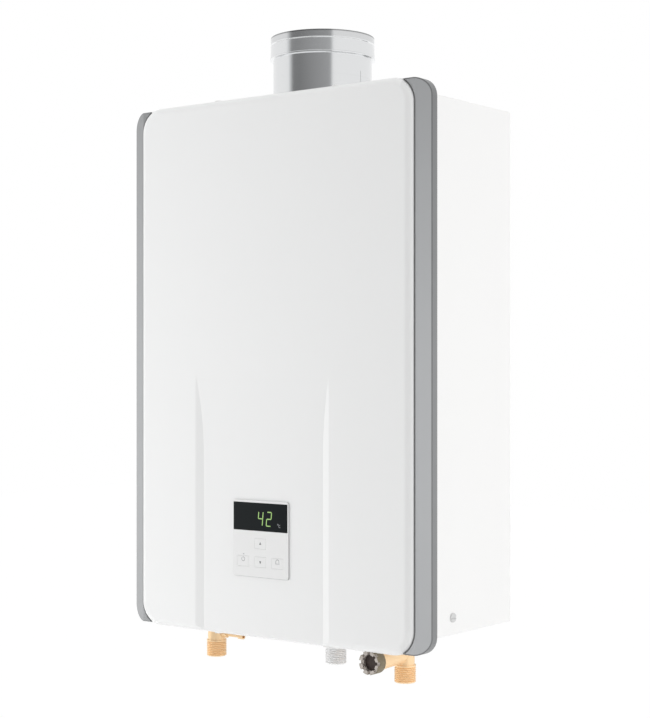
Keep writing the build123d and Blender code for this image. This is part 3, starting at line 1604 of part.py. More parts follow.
pieces = {
    "front_cover": front_cover,
    "right_trim": right_trim,
    "left_trim": left_trim,
    "cover_screws": cover_screws,
    "control_fascia": control_fascia,
    "display_window": display_window,
    "display_module": display_module,
    "control_board": control_board,
    "case_shell": case_shell,
    "case_top": case_top,
    "case_bottom": case_bottom,
    "top_bracket": top_bracket,
    "case_screws": case_screws,
    "flue_outer_tube": flue_outer_tube,
    "flue_seal": flue_seal,
    "flue_inner_tube": flue_inner_tube,
    "exhaust_hood": exhaust_hood,
    "combustion_chamber": combustion_chamber,
    "heat_exchanger_fins": heat_exchanger_fins,
    "heat_exchanger_tubes": heat_exchanger_tubes,
    "chamber_coil": chamber_coil,
    "riser_pipe": riser_pipe,
    "hot_pipe": hot_pipe,
    "pipe_unions": pipe_unions,
    "burner_box": burner_box,
    "burner_bars": burner_bars,
    "gas_manifold": gas_manifold,
    "gas_nozzles": gas_nozzles,
    "gas_valve_body": gas_valve_body,
    "gas_valve_coils": gas_valve_coils,
    "gas_valve_plungers": gas_valve_plungers,
    "gas_feed_pipe": gas_feed_pipe,
    "gas_inlet_nipple": gas_inlet_nipple,
    "cold_inlet_body": cold_inlet_body,
    "filter_cap": filter_cap,
    "filter_strainer": filter_strainer,
    "flow_sensor_body": flow_sensor_body,
    "flow_turbine": flow_turbine,
    "flow_valve_body": flow_valve_body,
    "flow_valve_plug": flow_valve_plug,
    "flow_valve_motor": flow_valve_motor,
    "hot_outlet_body": hot_outlet_body,
    "hot_bleed_nipple": hot_bleed_nipple,
    "hot_thermistor": hot_thermistor,
    "fan_scroll": fan_scroll,
    "fan_impeller": fan_impeller,
    "fan_motor": fan_motor,
    "board_tray": board_tray,
    "main_board": main_board,
    "board_components": board_components,
    "igniter": igniter,
    "electrodes": electrodes,
    "overheat_switch": overheat_switch,
    "ignition_lead": ignition_lead,
    "cable_gland": cable_gland,
}

os.makedirs("parts", exist_ok=True)
for node, make in pieces.items():
    export_step(make(), f"parts/{node}.step")
export_step(bracket_plate(-1), "parts/bottom_bracket.step")
for node in key_places:
    export_step(key(node), f"parts/{node}.step")
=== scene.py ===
import logging
import math
from dataclasses import dataclass, field, replace
from enum import Enum
from typing import Any, Callable

import bmesh
import bpy
from mathutils import Matrix, Vector


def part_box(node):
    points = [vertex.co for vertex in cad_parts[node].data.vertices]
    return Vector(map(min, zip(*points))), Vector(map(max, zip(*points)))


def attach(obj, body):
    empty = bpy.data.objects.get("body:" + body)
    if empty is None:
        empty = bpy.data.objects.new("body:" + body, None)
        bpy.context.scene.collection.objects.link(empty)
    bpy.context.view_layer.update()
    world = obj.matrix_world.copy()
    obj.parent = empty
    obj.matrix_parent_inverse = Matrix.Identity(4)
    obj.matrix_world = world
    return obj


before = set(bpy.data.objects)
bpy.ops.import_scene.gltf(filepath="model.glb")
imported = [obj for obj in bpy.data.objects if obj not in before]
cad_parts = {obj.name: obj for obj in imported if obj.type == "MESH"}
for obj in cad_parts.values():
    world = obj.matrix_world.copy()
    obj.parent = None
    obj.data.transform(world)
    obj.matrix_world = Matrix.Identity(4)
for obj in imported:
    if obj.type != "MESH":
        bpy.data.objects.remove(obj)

LOG = logging.getLogger("water_heater")
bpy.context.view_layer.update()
MM = 0.001
FULL_TURN = 360.0
WHITE = (1.0, 1.0, 1.0)
Colour = tuple[float, float, float]
Place = tuple[float, float, float]
Span = tuple[float, float]

# Socket numbers of a Mix node that is set to colours.
MIX_FACTOR, MIX_FIRST, MIX_SECOND, MIX_RESULT = 0, 6, 7, 2


class Value:
    """A number socket that takes part in arithmetic; each operation adds a Math node."""

    def __init__(self, graph: "Graph", socket: Any) -> None:
        """Wraps a socket.

        Args:
            graph: The graph that the socket belongs to.
            socket: The output socket.
        """
        self.graph = graph
        self.socket = socket

    def _math(self, operation: str, first: Any, second: Any) -> "Value":
        """Adds one Math node.

        Args:
            operation: The Math node's operation.
            first: A Value or a number.
            second: A Value or a number.

        Returns:
            The node's result.
        """
        made = self.graph.node("ShaderNodeMath", {"operation": operation}, {0: first, 1: second})
        return Value(self.graph, made.outputs[0])

    def __add__(self, other: Any) -> "Value":
        """Self plus other."""
        return self._math("ADD", self, other)

    def __radd__(self, other: Any) -> "Value":
        """Other plus self."""
        return self._math("ADD", other, self)

    def __sub__(self, other: Any) -> "Value":
        """Self minus other."""
        return self._math("SUBTRACT", self, other)

    def __rsub__(self, other: Any) -> "Value":
        """Other minus self."""
        return self._math("SUBTRACT", other, self)

    def __mul__(self, other: Any) -> "Value":
        """Self times other."""
        return self._math("MULTIPLY", self, other)

    def __rmul__(self, other: Any) -> "Value":
        """Other times self."""
        return self._math("MULTIPLY", other, self)

    def __truediv__(self, other: Any) -> "Value":
        """Self over other."""
        return self._math("DIVIDE", self, other)

    def __pow__(self, other: Any) -> "Value":
        """Self to a power."""
        return self._math("POWER", self, other)

    def __abs__(self) -> "Value":
        """The size of self."""
        return self._math("ABSOLUTE", self, 0.0)

    def maximum(self, other: Any) -> "Value":
        """The larger of self and other."""
        return self._math("MAXIMUM", self, other)


class Graph:
    """The node tree of one material or of the world."""

    def __init__(self, tree: bpy.types.NodeTree) -> None:
        """Takes over a node tree and empties it.

        Args:
            tree: The tree to fill.
        """
        self.tree = tree
        self.tree.nodes.clear()

    def node(
        self, kind: str, settings: dict[str, Any] | None = None, sockets: dict[Any, Any] | None = None
    ) -> Any:
        """Adds a node, sets it up and fills or links its inputs.

        Args:
            kind: The node's type name.
            settings: Attributes to set first; "stops" fills a colour ramp.
            sockets: Input name or number to a value, a Value or an output socket.

        Returns:
            The new node.
        """
        made = self.tree.nodes.new(kind)
        for name, value in (settings or {}).items():
            if name == "stops":
                self._fill_ramp(made.color_ramp, value)
            else:
                setattr(made, name, value)
        for name, value in (sockets or {}).items():
            target = made.inputs[name]
            if isinstance(value, Value):
                self.tree.links.new(value.socket, target)
            elif isinstance(value, bpy.types.NodeSocket):
                self.tree.links.new(value, target)
            else:
                target.default_value = value
        return made

    @staticmethod
    def _fill_ramp(ramp: bpy.types.ColorRamp, stops: list[tuple[float, Colour]]) -> None:
        """Sets a ramp's stops.

        Args:
            ramp: The colour ramp, with its two first stops.
            stops: Position and colour of each stop, in order.
        """
        while len(ramp.elements) < len(stops):
            ramp.elements.new(1.0)
        for element, (position, colour) in zip(ramp.elements, stops):
            element.position = position
            element.color = rgba(colour)

    def value(self, node: Any, output: Any = 0) -> Value:
        """One output of a node as a Value."""
        return Value(self, node.outputs[output])

    def noise(self, place: Any, scale: float, detail: float) -> Value:
        """Adds a noise pattern.

        Args:
            place: The coordinates' socket.
            scale: The pattern's scale.
            detail: The number of finer layers.

        Returns:
            The pattern's level.
        """
        sockets = {"Vector": place, "Scale": scale, "Detail": detail}
        return self.value(self.node("ShaderNodeTexNoise", None, sockets))

    def map_range(self, value: Value, source: Span, target: Span) -> Value:
        """Moves a value from one range to another and keeps it inside.

        Args:
            value: The value to move.
            source: Its range.
            target: The range of the result.

        Returns:
            The moved value.
        """
        sockets = dict(enumerate((value, *source, *target)))
        return self.value(self.node("ShaderNodeMapRange", None, sockets))

    def mix_colours(self, factor: Any, first: Any, second: Any, blend: str = "MIX") -> Any:
        """A colour between two colours.

        Args:
            factor: Share of the second colour.
            first: Colour or socket at factor 0.
            second: Colour or socket at factor 1.
            blend: The Mix node's blend type.

        Returns:
            The colour output socket.
        """
        settings = {"data_type": "RGBA", "blend_type": blend}
        sockets = {MIX_FACTOR: factor, MIX_FIRST: first, MIX_SECOND: second}
        return self.node("ShaderNodeMix", settings, sockets).outputs[MIX_RESULT]

    def finish(self, shader: Any, output: str = "ShaderNodeOutputMaterial") -> None:
        """Links a shader to the tree's output.

        Args:
            shader: The last shader node.
            output: The type name of the output node.
        """
        self.node(output, None, {"Surface": shader.outputs[0]})


class Grain(Enum):
    """Direction in which a surface's fine grain is drawn out."""

    EVEN = (1.0, 1.0, 1.0)
    ACROSS = (0.04, 0.04, 1.0)
    UPRIGHT = (1.0, 1.0, 0.04)
    SIDEWAYS = (0.04, 1.0, 1.0)


def rgba(colour: Colour) -> tuple[float, float, float, float]:
    """A colour with full alpha."""
    return (*colour, 1.0)


def grey(level: float) -> Colour:
    """A neutral grey with a trace of blue."""
    return (level, level * 1.01, level * 1.02)


def node_material(name: str) -> tuple[bpy.types.Material, Graph]:
    """Starts a material.

    Args:
        name: The material's name.

    Returns:
        The material and its empty graph.
    """
    made = bpy.data.materials.new(name)
    made.use_nodes = True
    return made, Graph(made.node_tree)


Measure = Callable[[Value, Value, Value], Value]


@dataclass(frozen=True)
class Ramp:
    """Colours that change with a distance measured on the piece."""

    measure: Measure
    stops: tuple[tuple[float, Colour], ...]

    def colour(self, graph: Graph, place: Any) -> Any:
        """Adds the ramp to a graph.

        Args:
            graph: The material's graph.
            place: The object coordinates' socket.

        Returns:
            The colour output socket.
        """
        split = graph.node("ShaderNodeSeparateXYZ", None, {0: place})
        distance = self.measure(*(graph.value(split, axis) for axis in "XYZ"))
        low, high = self.stops[0][0], self.stops[-1][0]
        share = (distance - low) / (high - low)
        stops = [((at - low) / (high - low), colour) for at, colour in self.stops]
        return graph.node("ShaderNodeValToRGB", {"stops": stops}, {0: share}).outputs[0]


def band_ramp(measure: Measure, *bands: tuple[float, float, Colour]) -> Ramp:
    """A ramp of plain bands with short steps between them.

    Args:
        measure: The distance that the bands follow.
        *bands: Low end, high end and colour of each band, in order.

    Returns:
        The ramp.
    """
    return Ramp(measure, tuple((end, colour) for low, high, colour in bands for end in (low, high)))


PANEL_CORNER = (0.145, 0.241)
PANEL_TIP_X = 0.157
PANEL_TIP_SLOPE = 9.0
TRIM_CORNER = (0.168, 0.2458)
FASCIA_FACE_Y = -0.1547
FASCIA_FOOT_Z = -0.2047
CAP_AXIS = (0.1105, -0.2772)


def length(across: Value, up: Value) -> Value:
    """Length of a line with these two sides."""
    return (across * across + up * up) ** 0.5


def corner_reach(x: Value, z: Value, centre: Span) -> Value:
    """Distance outwards from the lines through the centres of a rounded outline's four corners."""
    return length((abs(x) - centre[0]).maximum(0.0), (abs(z) - centre[1]).maximum(0.0))


def panel_edge(x: Value, _y: Value, z: Value) -> Value:
    """Reach of the white panel towards the trims, which ends at the trims' tips."""
    return corner_reach(x, z, PANEL_CORNER) - (PANEL_TIP_X - abs(x)).maximum(0.0) * PANEL_TIP_SLOPE


def trim_edge(x: Value, _y: Value, z: Value) -> Value:
    """Reach of a trim towards the outline of the front."""
    return corner_reach(x, z, TRIM_CORNER)


def fascia_edge(_x: Value, y: Value, z: Value) -> Value:
    """Place behind the fascia's front face or below its lower edge."""
    return (y - FASCIA_FACE_Y).maximum(FASCIA_FOOT_Z - z)


def height(_x: Value, _y: Value, z: Value) -> Value:
    """Height above the heater's middle."""
    return z


def from_cap_axis(x: Value, _y: Value, z: Value) -> Value:
    """Distance from the filter cap's axis."""
    return length(x - CAP_AXIS[0], z - CAP_AXIS[1])


SLOW_DETAIL = 4.0
FINE_DETAIL = 3.0
SLOW_SHARE = 0.7
FINE_SHARE = 0.3
RAMP_SHARE = 0.85
BUMP_DISTANCE = 0.0006


@dataclass(frozen=True)
class Finish:
    """A surface finish: colour with slow and fine variation, roughness and grain; its ramp mostly paints
    light and shade into the colour, and its painted shade darkens it.
    """

    name: str
    colour: Colour
    second: Colour
    rough: float
    rough_swing: float = 0.08
    metal: float = 0.0
    coat: float = 0.0
    coat_rough: float = 0.15
    specular: float = 0.5
    mottle_scale: float = 14.0
    grain: Grain = Grain.EVEN
    grain_scale: float = 900.0
    grain_depth: float = 0.02
    rings: float = 0.0
    ring_depth: float = 0.0
    ramp: Ramp | None = None
    painted_shade: Ramp | None = None

    def material(self) -> bpy.types.Material:
        """Builds the finish as a material.

        Returns:
            The material, ready to assign.
        """
        made, graph = node_material(self.name)
        place = graph.node("ShaderNodeTexCoord").outputs["Object"]
        slow = graph.noise(place, self.mottle_scale, SLOW_DETAIL)
        stretch = graph.node("ShaderNodeMapping", None, {"Vector": place, "Scale": Vector(self.grain.value)})
        fine = graph.noise(stretch.outputs[0], self.grain_scale, FINE_DETAIL)
        rough = slow * self.rough_swing + fine * self.rough_swing + (self.rough - self.rough_swing)
        sockets = {
            "Base Color": self.base(graph, place, slow * SLOW_SHARE + fine * FINE_SHARE),
            "Roughness": rough,
            "Metallic": self.metal,
            "Specular IOR Level": self.specular,
            "Coat Weight": self.coat,
            "Coat Roughness": self.coat_rough,
            "Normal": self.relief(graph, place, fine),
        }
        graph.finish(graph.node("ShaderNodeBsdfPrincipled", None, sockets))
        return made

    def base(self, graph: Graph, place: Any, blend: Value) -> Any:
        """Adds the colour with its ramp, which mostly paints light and shade, and its painted shade, which
        multiplies it darker.

        Args:
            graph: The material's graph.
            place: The object coordinates' socket.
            blend: Share of the second colour.

        Returns:
            The colour output socket.
        """
        colour = graph.mix_colours(blend, rgba(self.colour), rgba(self.second))
        if self.ramp:
            colour = graph.mix_colours(RAMP_SHARE, colour, self.ramp.colour(graph, place))
        if self.painted_shade:
            colour = graph.mix_colours(1.0, colour, self.painted_shade.colour(graph, place), "MULTIPLY")
        return colour

    def relief(self, graph: Graph, place: Any, fine: Value) -> Any:
        """Adds the grain and the rings as a bump.

        Args:
            graph: The material's graph.
            place: The object coordinates' socket.
            fine: The fine grain.

        Returns:
            The normal output socket.
        """
        level, strength = fine, self.grain_depth
        if self.rings:
            sockets = {"Vector": place, "Scale": self.rings, "Distortion": 0.0}
            wave = graph.node("ShaderNodeTexWave", {"bands_direction": "Y"}, sockets)
            level, strength = fine * self.grain_depth + graph.value(wave, "Fac") * self.ring_depth, 1.0
        bump = {"Height": level, "Strength": strength, "Distance": BUMP_DISTANCE}
        return graph.node("ShaderNodeBump", None, bump).outputs[0]


@dataclass(frozen=True)
class LampFinish:
    """A lit segment of the display."""

    name: str
    core: Colour
    edge: Colour
    strength: float
    rough: float = 0.35
    cell_scale: float = 1400.0
    cell_detail: float = 2.0

    def material(self) -> bpy.types.Material:
        """Builds the glowing material.

        Returns:
            The material, ready to assign.
        """
        made, graph = node_material(self.name)
        place = graph.node("ShaderNodeTexCoord").outputs["Object"]
        cells = graph.noise(place, self.cell_scale, self.cell_detail)
        sockets = {
            "Base Color": rgba(self.edge),
            "Roughness": self.rough,
            "Emission Color": graph.mix_colours(cells, rgba(self.core), rgba(self.edge)),
            "Emission Strength": self.strength,
        }
        graph.finish(graph.node("ShaderNodeBsdfPrincipled", None, sockets))
        return made


COVER_WHITE = (0.867, 0.871, 0.869)
COVER_SHADE = (0.755, 0.758, 0.757)
# Painted shade: the panel's rounded edge is painted a darker white and the groove beside the trims dark grey,
# standing in for the shade there.
COVER_GROOVE_SHADE_RAMP = band_ramp(
    panel_edge,
    (0.0, 0.0170, COVER_WHITE),
    (0.0215, 0.0231, COVER_SHADE),
    (0.0238, 0.0450, grey(0.16)),
)
COVER_PAINT = Finish(
    "cover_paint", (0.86, 0.864, 0.862), (0.875, 0.878, 0.876), rough=0.34, rough_swing=0.04, coat=0.25,
    coat_rough=0.12, mottle_scale=5.0, grain_scale=650.0, grain_depth=0.02, ramp=COVER_GROOVE_SHADE_RAMP,
)
CASE_PAINT = Finish(
    "case_paint", (0.87, 0.868, 0.862), (0.89, 0.888, 0.882), rough=0.42, rough_swing=0.05,
    mottle_scale=6.0, grain_scale=700.0, grain_depth=0.03,
)
# Painted shade: each trim's bevel keeps its grey while its side, turned away from the front, is painted much
# darker.
TRIM_SIDE_SHADE_RAMP = band_ramp(trim_edge, (0.0, 0.0157, grey(0.525)), (0.0160, 0.0180, grey(0.186)))
# Painted shade: multiplies the trims' colour darker towards the top, and a little towards the bottom,
# standing in for light that falls off there.
TRIM_HEIGHT_SHADE = Ramp(height, (
    (-0.265, grey(0.91)),
    (-0.215, grey(0.94)),
    (-0.120, grey(0.98)),
    (0.015, grey(0.96)),
    (0.152, grey(0.84)),
    (0.265, grey(0.72)),
))
TRIM_GREY = Finish(
    "trim_grey", (0.50, 0.505, 0.51), (0.53, 0.535, 0.54), rough=0.38, rough_swing=0.05,
    mottle_scale=9.0, grain_scale=1500.0, grain_depth=0.03, ramp=TRIM_SIDE_SHADE_RAMP, painted_shade=TRIM_HEIGHT_SHADE,
)
# Painted shade: the left trim is a darker copy of the trims' grey, standing in for the left side lying in
# shade; its side band is darker still.
SHADE_RAMP = band_ramp(trim_edge, (0.0, 0.0157, grey(0.362)), (0.0160, 0.0180, grey(0.31)))
TRIM_SHADE = replace(TRIM_GREY, name="trim_shade", ramp=SHADE_RAMP)
PANEL_WHITE = (0.81, 0.812, 0.81)
# Painted shade: the fascia's sides and the strip below its lower edge turn grey, standing in for the shadow
# in the gap round the fascia.
FASCIA_EDGE_SHADE_RAMP = band_ramp(fascia_edge, (-0.01, 0.0, PANEL_WHITE), (0.0002, 0.02, grey(0.45)))
PANEL_PLASTIC = Finish(
    "panel_plastic", (0.80, 0.802, 0.80), (0.82, 0.822, 0.82), rough=0.45, rough_swing=0.05,
    grain_scale=2200.0, grain_depth=0.03, ramp=FASCIA_EDGE_SHADE_RAMP,
)
WINDOW_BLACK = Finish(
    "window_black", (0.005, 0.007, 0.008), (0.007, 0.010, 0.011), rough=0.10, rough_swing=0.03, coat=0.05,
    specular=0.3, coat_rough=0.04, grain_scale=400.0, grain_depth=0.002,
)
INNER_PLASTIC = Finish(
    "inner_plastic", (0.72, 0.71, 0.68), (0.78, 0.77, 0.74), rough=0.5, rough_swing=0.06,
    grain_scale=1600.0, grain_depth=0.04,
)
BLACK_PLASTIC = Finish(
    "black_plastic", (0.020, 0.020, 0.022), (0.035, 0.035, 0.038), rough=0.48, rough_swing=0.08,
    grain_scale=1700.0, grain_depth=0.06,
)
COIL_WRAP = Finish(
    "coil_wrap", (0.016, 0.016, 0.018), (0.05, 0.045, 0.04), rough=0.45, rough_swing=0.08, rings=260.0,
    ring_depth=0.5,
)
BOARD_GREEN = Finish(
    "board_green", (0.015, 0.10, 0.035), (0.03, 0.16, 0.06), rough=0.38, rough_swing=0.08,
    mottle_scale=160.0, grain=Grain.UPRIGHT, grain_scale=900.0, grain_depth=0.05,
)
ZINC = Finish(
    "zinc_plate", (0.62, 0.63, 0.64), (0.74, 0.745, 0.75), rough=0.34, rough_swing=0.10, metal=1.0,
    mottle_scale=60.0, grain_scale=1200.0, grain_depth=0.03,
)
PLATED_STEEL = Finish(
    "plated_steel", (0.85, 0.85, 0.85), (0.92, 0.92, 0.92), rough=0.42, rough_swing=0.10, metal=0.25,
    mottle_scale=80.0, grain_scale=1500.0, grain_depth=0.05,
)
SCREW_STEEL = Finish(
    "screw_steel", (0.62, 0.62, 0.62), (0.72, 0.72, 0.72), rough=0.40, rough_swing=0.10, metal=0.5,
    mottle_scale=80.0, grain_scale=1500.0, grain_depth=0.05,
)
FLUE_PLAIN = grey(0.74)
FLUE_PAINTED_HIGHLIGHT = grey(0.98)
# Painted light on the flue, by height: the white bands are painted highlights on the collar's foot bead and
# ridge, the lip above is painted darker and the top rim a dark line of painted shade; a faint darker ring
# sits lower on the tube.
FLUE_PAINTED_LIGHT_RAMP = band_ramp(
    height,
    (0.2, 0.2881, FLUE_PLAIN),
    (0.2883, 0.2889, grey(0.71)),
    (0.2891, 0.3087, FLUE_PLAIN),
    (0.3089, 0.3098, FLUE_PAINTED_HIGHLIGHT),
    (0.3100, 0.3233, FLUE_PLAIN),
    (0.3235, 0.3246, FLUE_PAINTED_HIGHLIGHT),
    (0.3248, 0.3301, grey(0.64)),
    (0.3305, 0.34, grey(0.22)),
)
FLUE_METAL = Finish(
    "flue_metal", (0.72, 0.73, 0.735), (0.80, 0.81, 0.815), rough=0.17, rough_swing=0.03, metal=1.0,
    mottle_scale=25.0, grain=Grain.ACROSS, grain_scale=1600.0, grain_depth=0.012, ramp=FLUE_PAINTED_LIGHT_RAMP,
)
COPPER = Finish(
    "copper", (0.72, 0.34, 0.20), (0.86, 0.50, 0.34), rough=0.32, rough_swing=0.12, metal=1.0,
    mottle_scale=30.0, grain_scale=800.0, grain_depth=0.04,
)
HOT_COPPER = Finish(
    "heated_copper", (0.50, 0.22, 0.15), (0.82, 0.46, 0.30), rough=0.40, rough_swing=0.14, metal=1.0,
    mottle_scale=18.0, grain=Grain.UPRIGHT, grain_scale=700.0, grain_depth=0.05,
)
BRASS = Finish(
    "brass", (0.95, 0.66, 0.37), (0.97, 0.73, 0.46), rough=0.42, rough_swing=0.10, metal=0.3,
    mottle_scale=60.0, grain_scale=1500.0, grain_depth=0.06,
)
CAST_ALLOY = Finish(
    "cast_alloy", (0.56, 0.57, 0.58), (0.70, 0.71, 0.72), rough=0.50, rough_swing=0.10, metal=0.9,
    mottle_scale=90.0, grain_scale=900.0, grain_depth=0.22,
)
STAINLESS = Finish(
    "stainless", (0.52, 0.51, 0.49), (0.68, 0.67, 0.66), rough=0.30, rough_swing=0.10, metal=1.0,
    mottle_scale=22.0, grain=Grain.SIDEWAYS, grain_scale=1200.0, grain_depth=0.05,
)
CERAMIC = Finish(
    "ceramic", (0.80, 0.78, 0.72), (0.86, 0.85, 0.80), rough=0.42, rough_swing=0.06, grain_scale=1500.0,
    grain_depth=0.04,
)
SEAL_RUBBER = Finish(
    "seal_rubber", (0.018, 0.018, 0.018), (0.03, 0.03, 0.03), rough=0.62, rough_swing=0.08,
    grain_scale=1800.0, grain_depth=0.08,
)
LEAD_RUBBER = Finish(
    "lead_rubber", (0.34, 0.035, 0.025), (0.45, 0.06, 0.045), rough=0.48, rough_swing=0.08,
    grain_scale=1400.0, grain_depth=0.05,
)
CAP_BROWN = (0.20, 0.165, 0.10)
# Cap colour by distance from its axis: near-black brown in the middle, a pale ring at the rim that is a
# painted highlight, and brown plastic outside.
CAP_TONE_AND_HIGHLIGHT_RAMP = Ramp(from_cap_axis, (
    (0.0000, (0.030, 0.016, 0.013)),
    (0.0075, (0.040, 0.022, 0.018)),
    (0.0079, (0.60, 0.55, 0.51)),
    (0.0106, (0.56, 0.51, 0.46)),
    (0.0111, CAP_BROWN),
    (0.0130, CAP_BROWN),
))
CAP_PLASTIC = Finish(
    "cap_plastic", (0.10, 0.085, 0.07), (0.16, 0.14, 0.12), rough=0.5, rough_swing=0.08,
    grain_scale=1500.0, grain_depth=0.08, ramp=CAP_TONE_AND_HIGHLIGHT_RAMP,
)
PRINT_GREY = Finish(
    "print_grey", (0.16, 0.165, 0.17), (0.20, 0.205, 0.21), rough=0.5, rough_swing=0.05, grain_scale=2000.0
)
FAINT_GREY = Finish(
    "faint_grey", (0.30, 0.31, 0.32), (0.36, 0.37, 0.38), rough=0.5, rough_swing=0.05, grain_scale=2000.0
)
DIGIT_GREEN = LampFinish("digit_green", (0.36, 0.52, 0.22), (0.25, 0.42, 0.12), strength=0.55)

NODE_FINISHES: dict[Finish, list[str]] = {
    COVER_PAINT: ["front_cover"],
    CASE_PAINT: ["cover_screws", "case_shell", "case_top", "case_bottom"],
    TRIM_GREY: ["right_trim"],
    TRIM_SHADE: ["left_trim"],
    PANEL_PLASTIC: ["control_fascia", "key_up", "key_down", "key_left", "key_right"],
    WINDOW_BLACK: ["display_window"],
    INNER_PLASTIC: ["board_tray", "flow_turbine"],
    BLACK_PLASTIC: [
        "display_module", "flow_sensor_body", "flow_valve_motor", "hot_thermistor", "board_components",
        "igniter", "overheat_switch", "cable_gland",
    ],
    COIL_WRAP: ["gas_valve_coils"],
    BOARD_GREEN: ["control_board", "main_board"],
    ZINC: [
        "top_bracket", "bottom_bracket", "fan_scroll", "fan_impeller", "fan_motor", "gas_valve_plungers",
        "gas_feed_pipe",
    ],
    PLATED_STEEL: ["gas_inlet_nipple"],
    SCREW_STEEL: ["case_screws"],
    FLUE_METAL: ["flue_outer_tube", "flue_inner_tube"],
    COPPER: ["heat_exchanger_tubes", "heat_exchanger_fins", "chamber_coil", "riser_pipe", "hot_pipe"],
    HOT_COPPER: ["combustion_chamber"],
    BRASS: [
        "cold_inlet_body", "hot_outlet_body", "hot_bleed_nipple", "flow_valve_body", "flow_valve_plug",
        "gas_nozzles", "pipe_unions",
    ],
    CAST_ALLOY: ["gas_valve_body", "gas_manifold"],
    STAINLESS: ["burner_box", "burner_bars", "exhaust_hood", "filter_strainer"],
    CERAMIC: ["electrodes"],
    SEAL_RUBBER: ["flue_seal"],
    LEAD_RUBBER: ["ignition_lead"],
    CAP_PLASTIC: ["filter_cap"],
}


def dress_nodes() -> None:
    """Gives every CAD node its finish."""
    for finish, names in NODE_FINISHES.items():
        made = finish.material()
        for name in names:
            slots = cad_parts[name].data.materials
            slots.clear()
            slots.append(made)
            LOG.info("dressed %s in %s", name, finish.name)


MERGE_DISTANCE = 1e-7


def mesh_object(name: str, mesh: bmesh.types.BMesh, material: bpy.types.Material) -> bpy.types.Object:
    """Turns a bmesh into an object of the scene.

    Args:
        name: The object's name.
        mesh: The finished bmesh; it is freed.
        material: The object's material.

    Returns:
        The new object.
    """
    data = bpy.data.meshes.new(name)
    mesh.to_mesh(data)
    mesh.free()
    data.materials.append(material)
    made = bpy.data.objects.new(name, data)
    bpy.context.scene.collection.objects.link(made)
    return made


def add_piece(name: str, mesh: bmesh.types.BMesh, finish: Finish | LampFinish, body: str) -> None:
    """Turns a bmesh into a named piece of the heater.

    Args:
        name: The piece's name.
        mesh: The finished bmesh, in the heater's frame; it is freed.
        finish: The finish to dress it in.
        body: The CAD body that it rides on.
    """
    bmesh.ops.remove_doubles(mesh, verts=mesh.verts, dist=MERGE_DISTANCE)
    bmesh.ops.recalc_face_normals(mesh, faces=mesh.faces)
    made = mesh_object(name, mesh, finish.material())
    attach(made, body)
    LOG.info("made %s on %s", name, body)


def add_bar(mesh: bmesh.types.BMesh, x: Span, y: Span, z: Span) -> None:
    """Adds a box to a bmesh.

    Args:
        mesh: The bmesh to add to.
        x: Low and high end along X.
        y: Low and high end along Y.
        z: Low and high end along Z.
    """
    middle = Vector(((x[0] + x[1]) / 2, (y[0] + y[1]) / 2, (z[0] + z[1]) / 2))
    size = Matrix.Diagonal((x[1] - x[0], y[1] - y[0], z[1] - z[0], 1.0))
    bmesh.ops.create_cube(mesh, size=1.0, matrix=Matrix.Translation(middle) @ size)


@dataclass(frozen=True)
class Stroke:
    """A printed arc with its angles in degrees, counted from +X towards +Z."""

    radius: float
    width: float
    start: float = 0.0
    sweep: float = FULL_TURN
    least_steps: int = 8
    step_angle: float = 10.0

    def add(self, mesh: bmesh.types.BMesh, centre: Vector, y: Span) -> None:
        """Adds the arc to a bmesh as a flat line that faces -Y.

        Args:
            mesh: The bmesh to add to.
            centre: The arc's centre.
            y: Front and rear of the line.
        """
        turn = Matrix.Rotation(math.radians(-self.start), 3, "Y")
        inner = self.radius - self.width / 2
        outer = self.radius + self.width / 2
        section = ((inner, y[0]), (outer, y[0]), (outer, y[1]), (inner, y[1]))
        made = [mesh.verts.new(centre + turn @ Vector((reach, depth, 0.0))) for reach, depth in section]
        face = mesh.faces.new(made)
        bmesh.ops.spin(
            mesh,
            geom=[face, *face.edges, *face.verts],
            cent=centre,
            axis=(0.0, -1.0, 0.0),
            angle=math.radians(self.sweep),
            steps=max(self.least_steps, int(self.sweep / self.step_angle)),
            use_merge=self.sweep >= FULL_TURN,
        )


# Ends of each segment of a digit, as shares of its width and height.
SEGMENTS = {
    "top": (0.0, 1.0, 1.0, 1.0),
    "middle": (0.0, 0.5, 1.0, 0.5),
    "bottom": (0.0, 0.0, 1.0, 0.0),
    "high_left": (0.0, 0.5, 0.0, 1.0),
    "low_left": (0.0, 0.0, 0.0, 0.5),
    "high_right": (1.0, 0.5, 1.0, 1.0),
    "low_right": (1.0, 0.0, 1.0, 0.5),
}
LIT_SEGMENTS = {
    "four": ["high_left", "middle", "high_right", "low_right"],
    "two": ["top", "high_right", "middle", "low_left", "bottom"],
}
LINE = 0.5 * MM


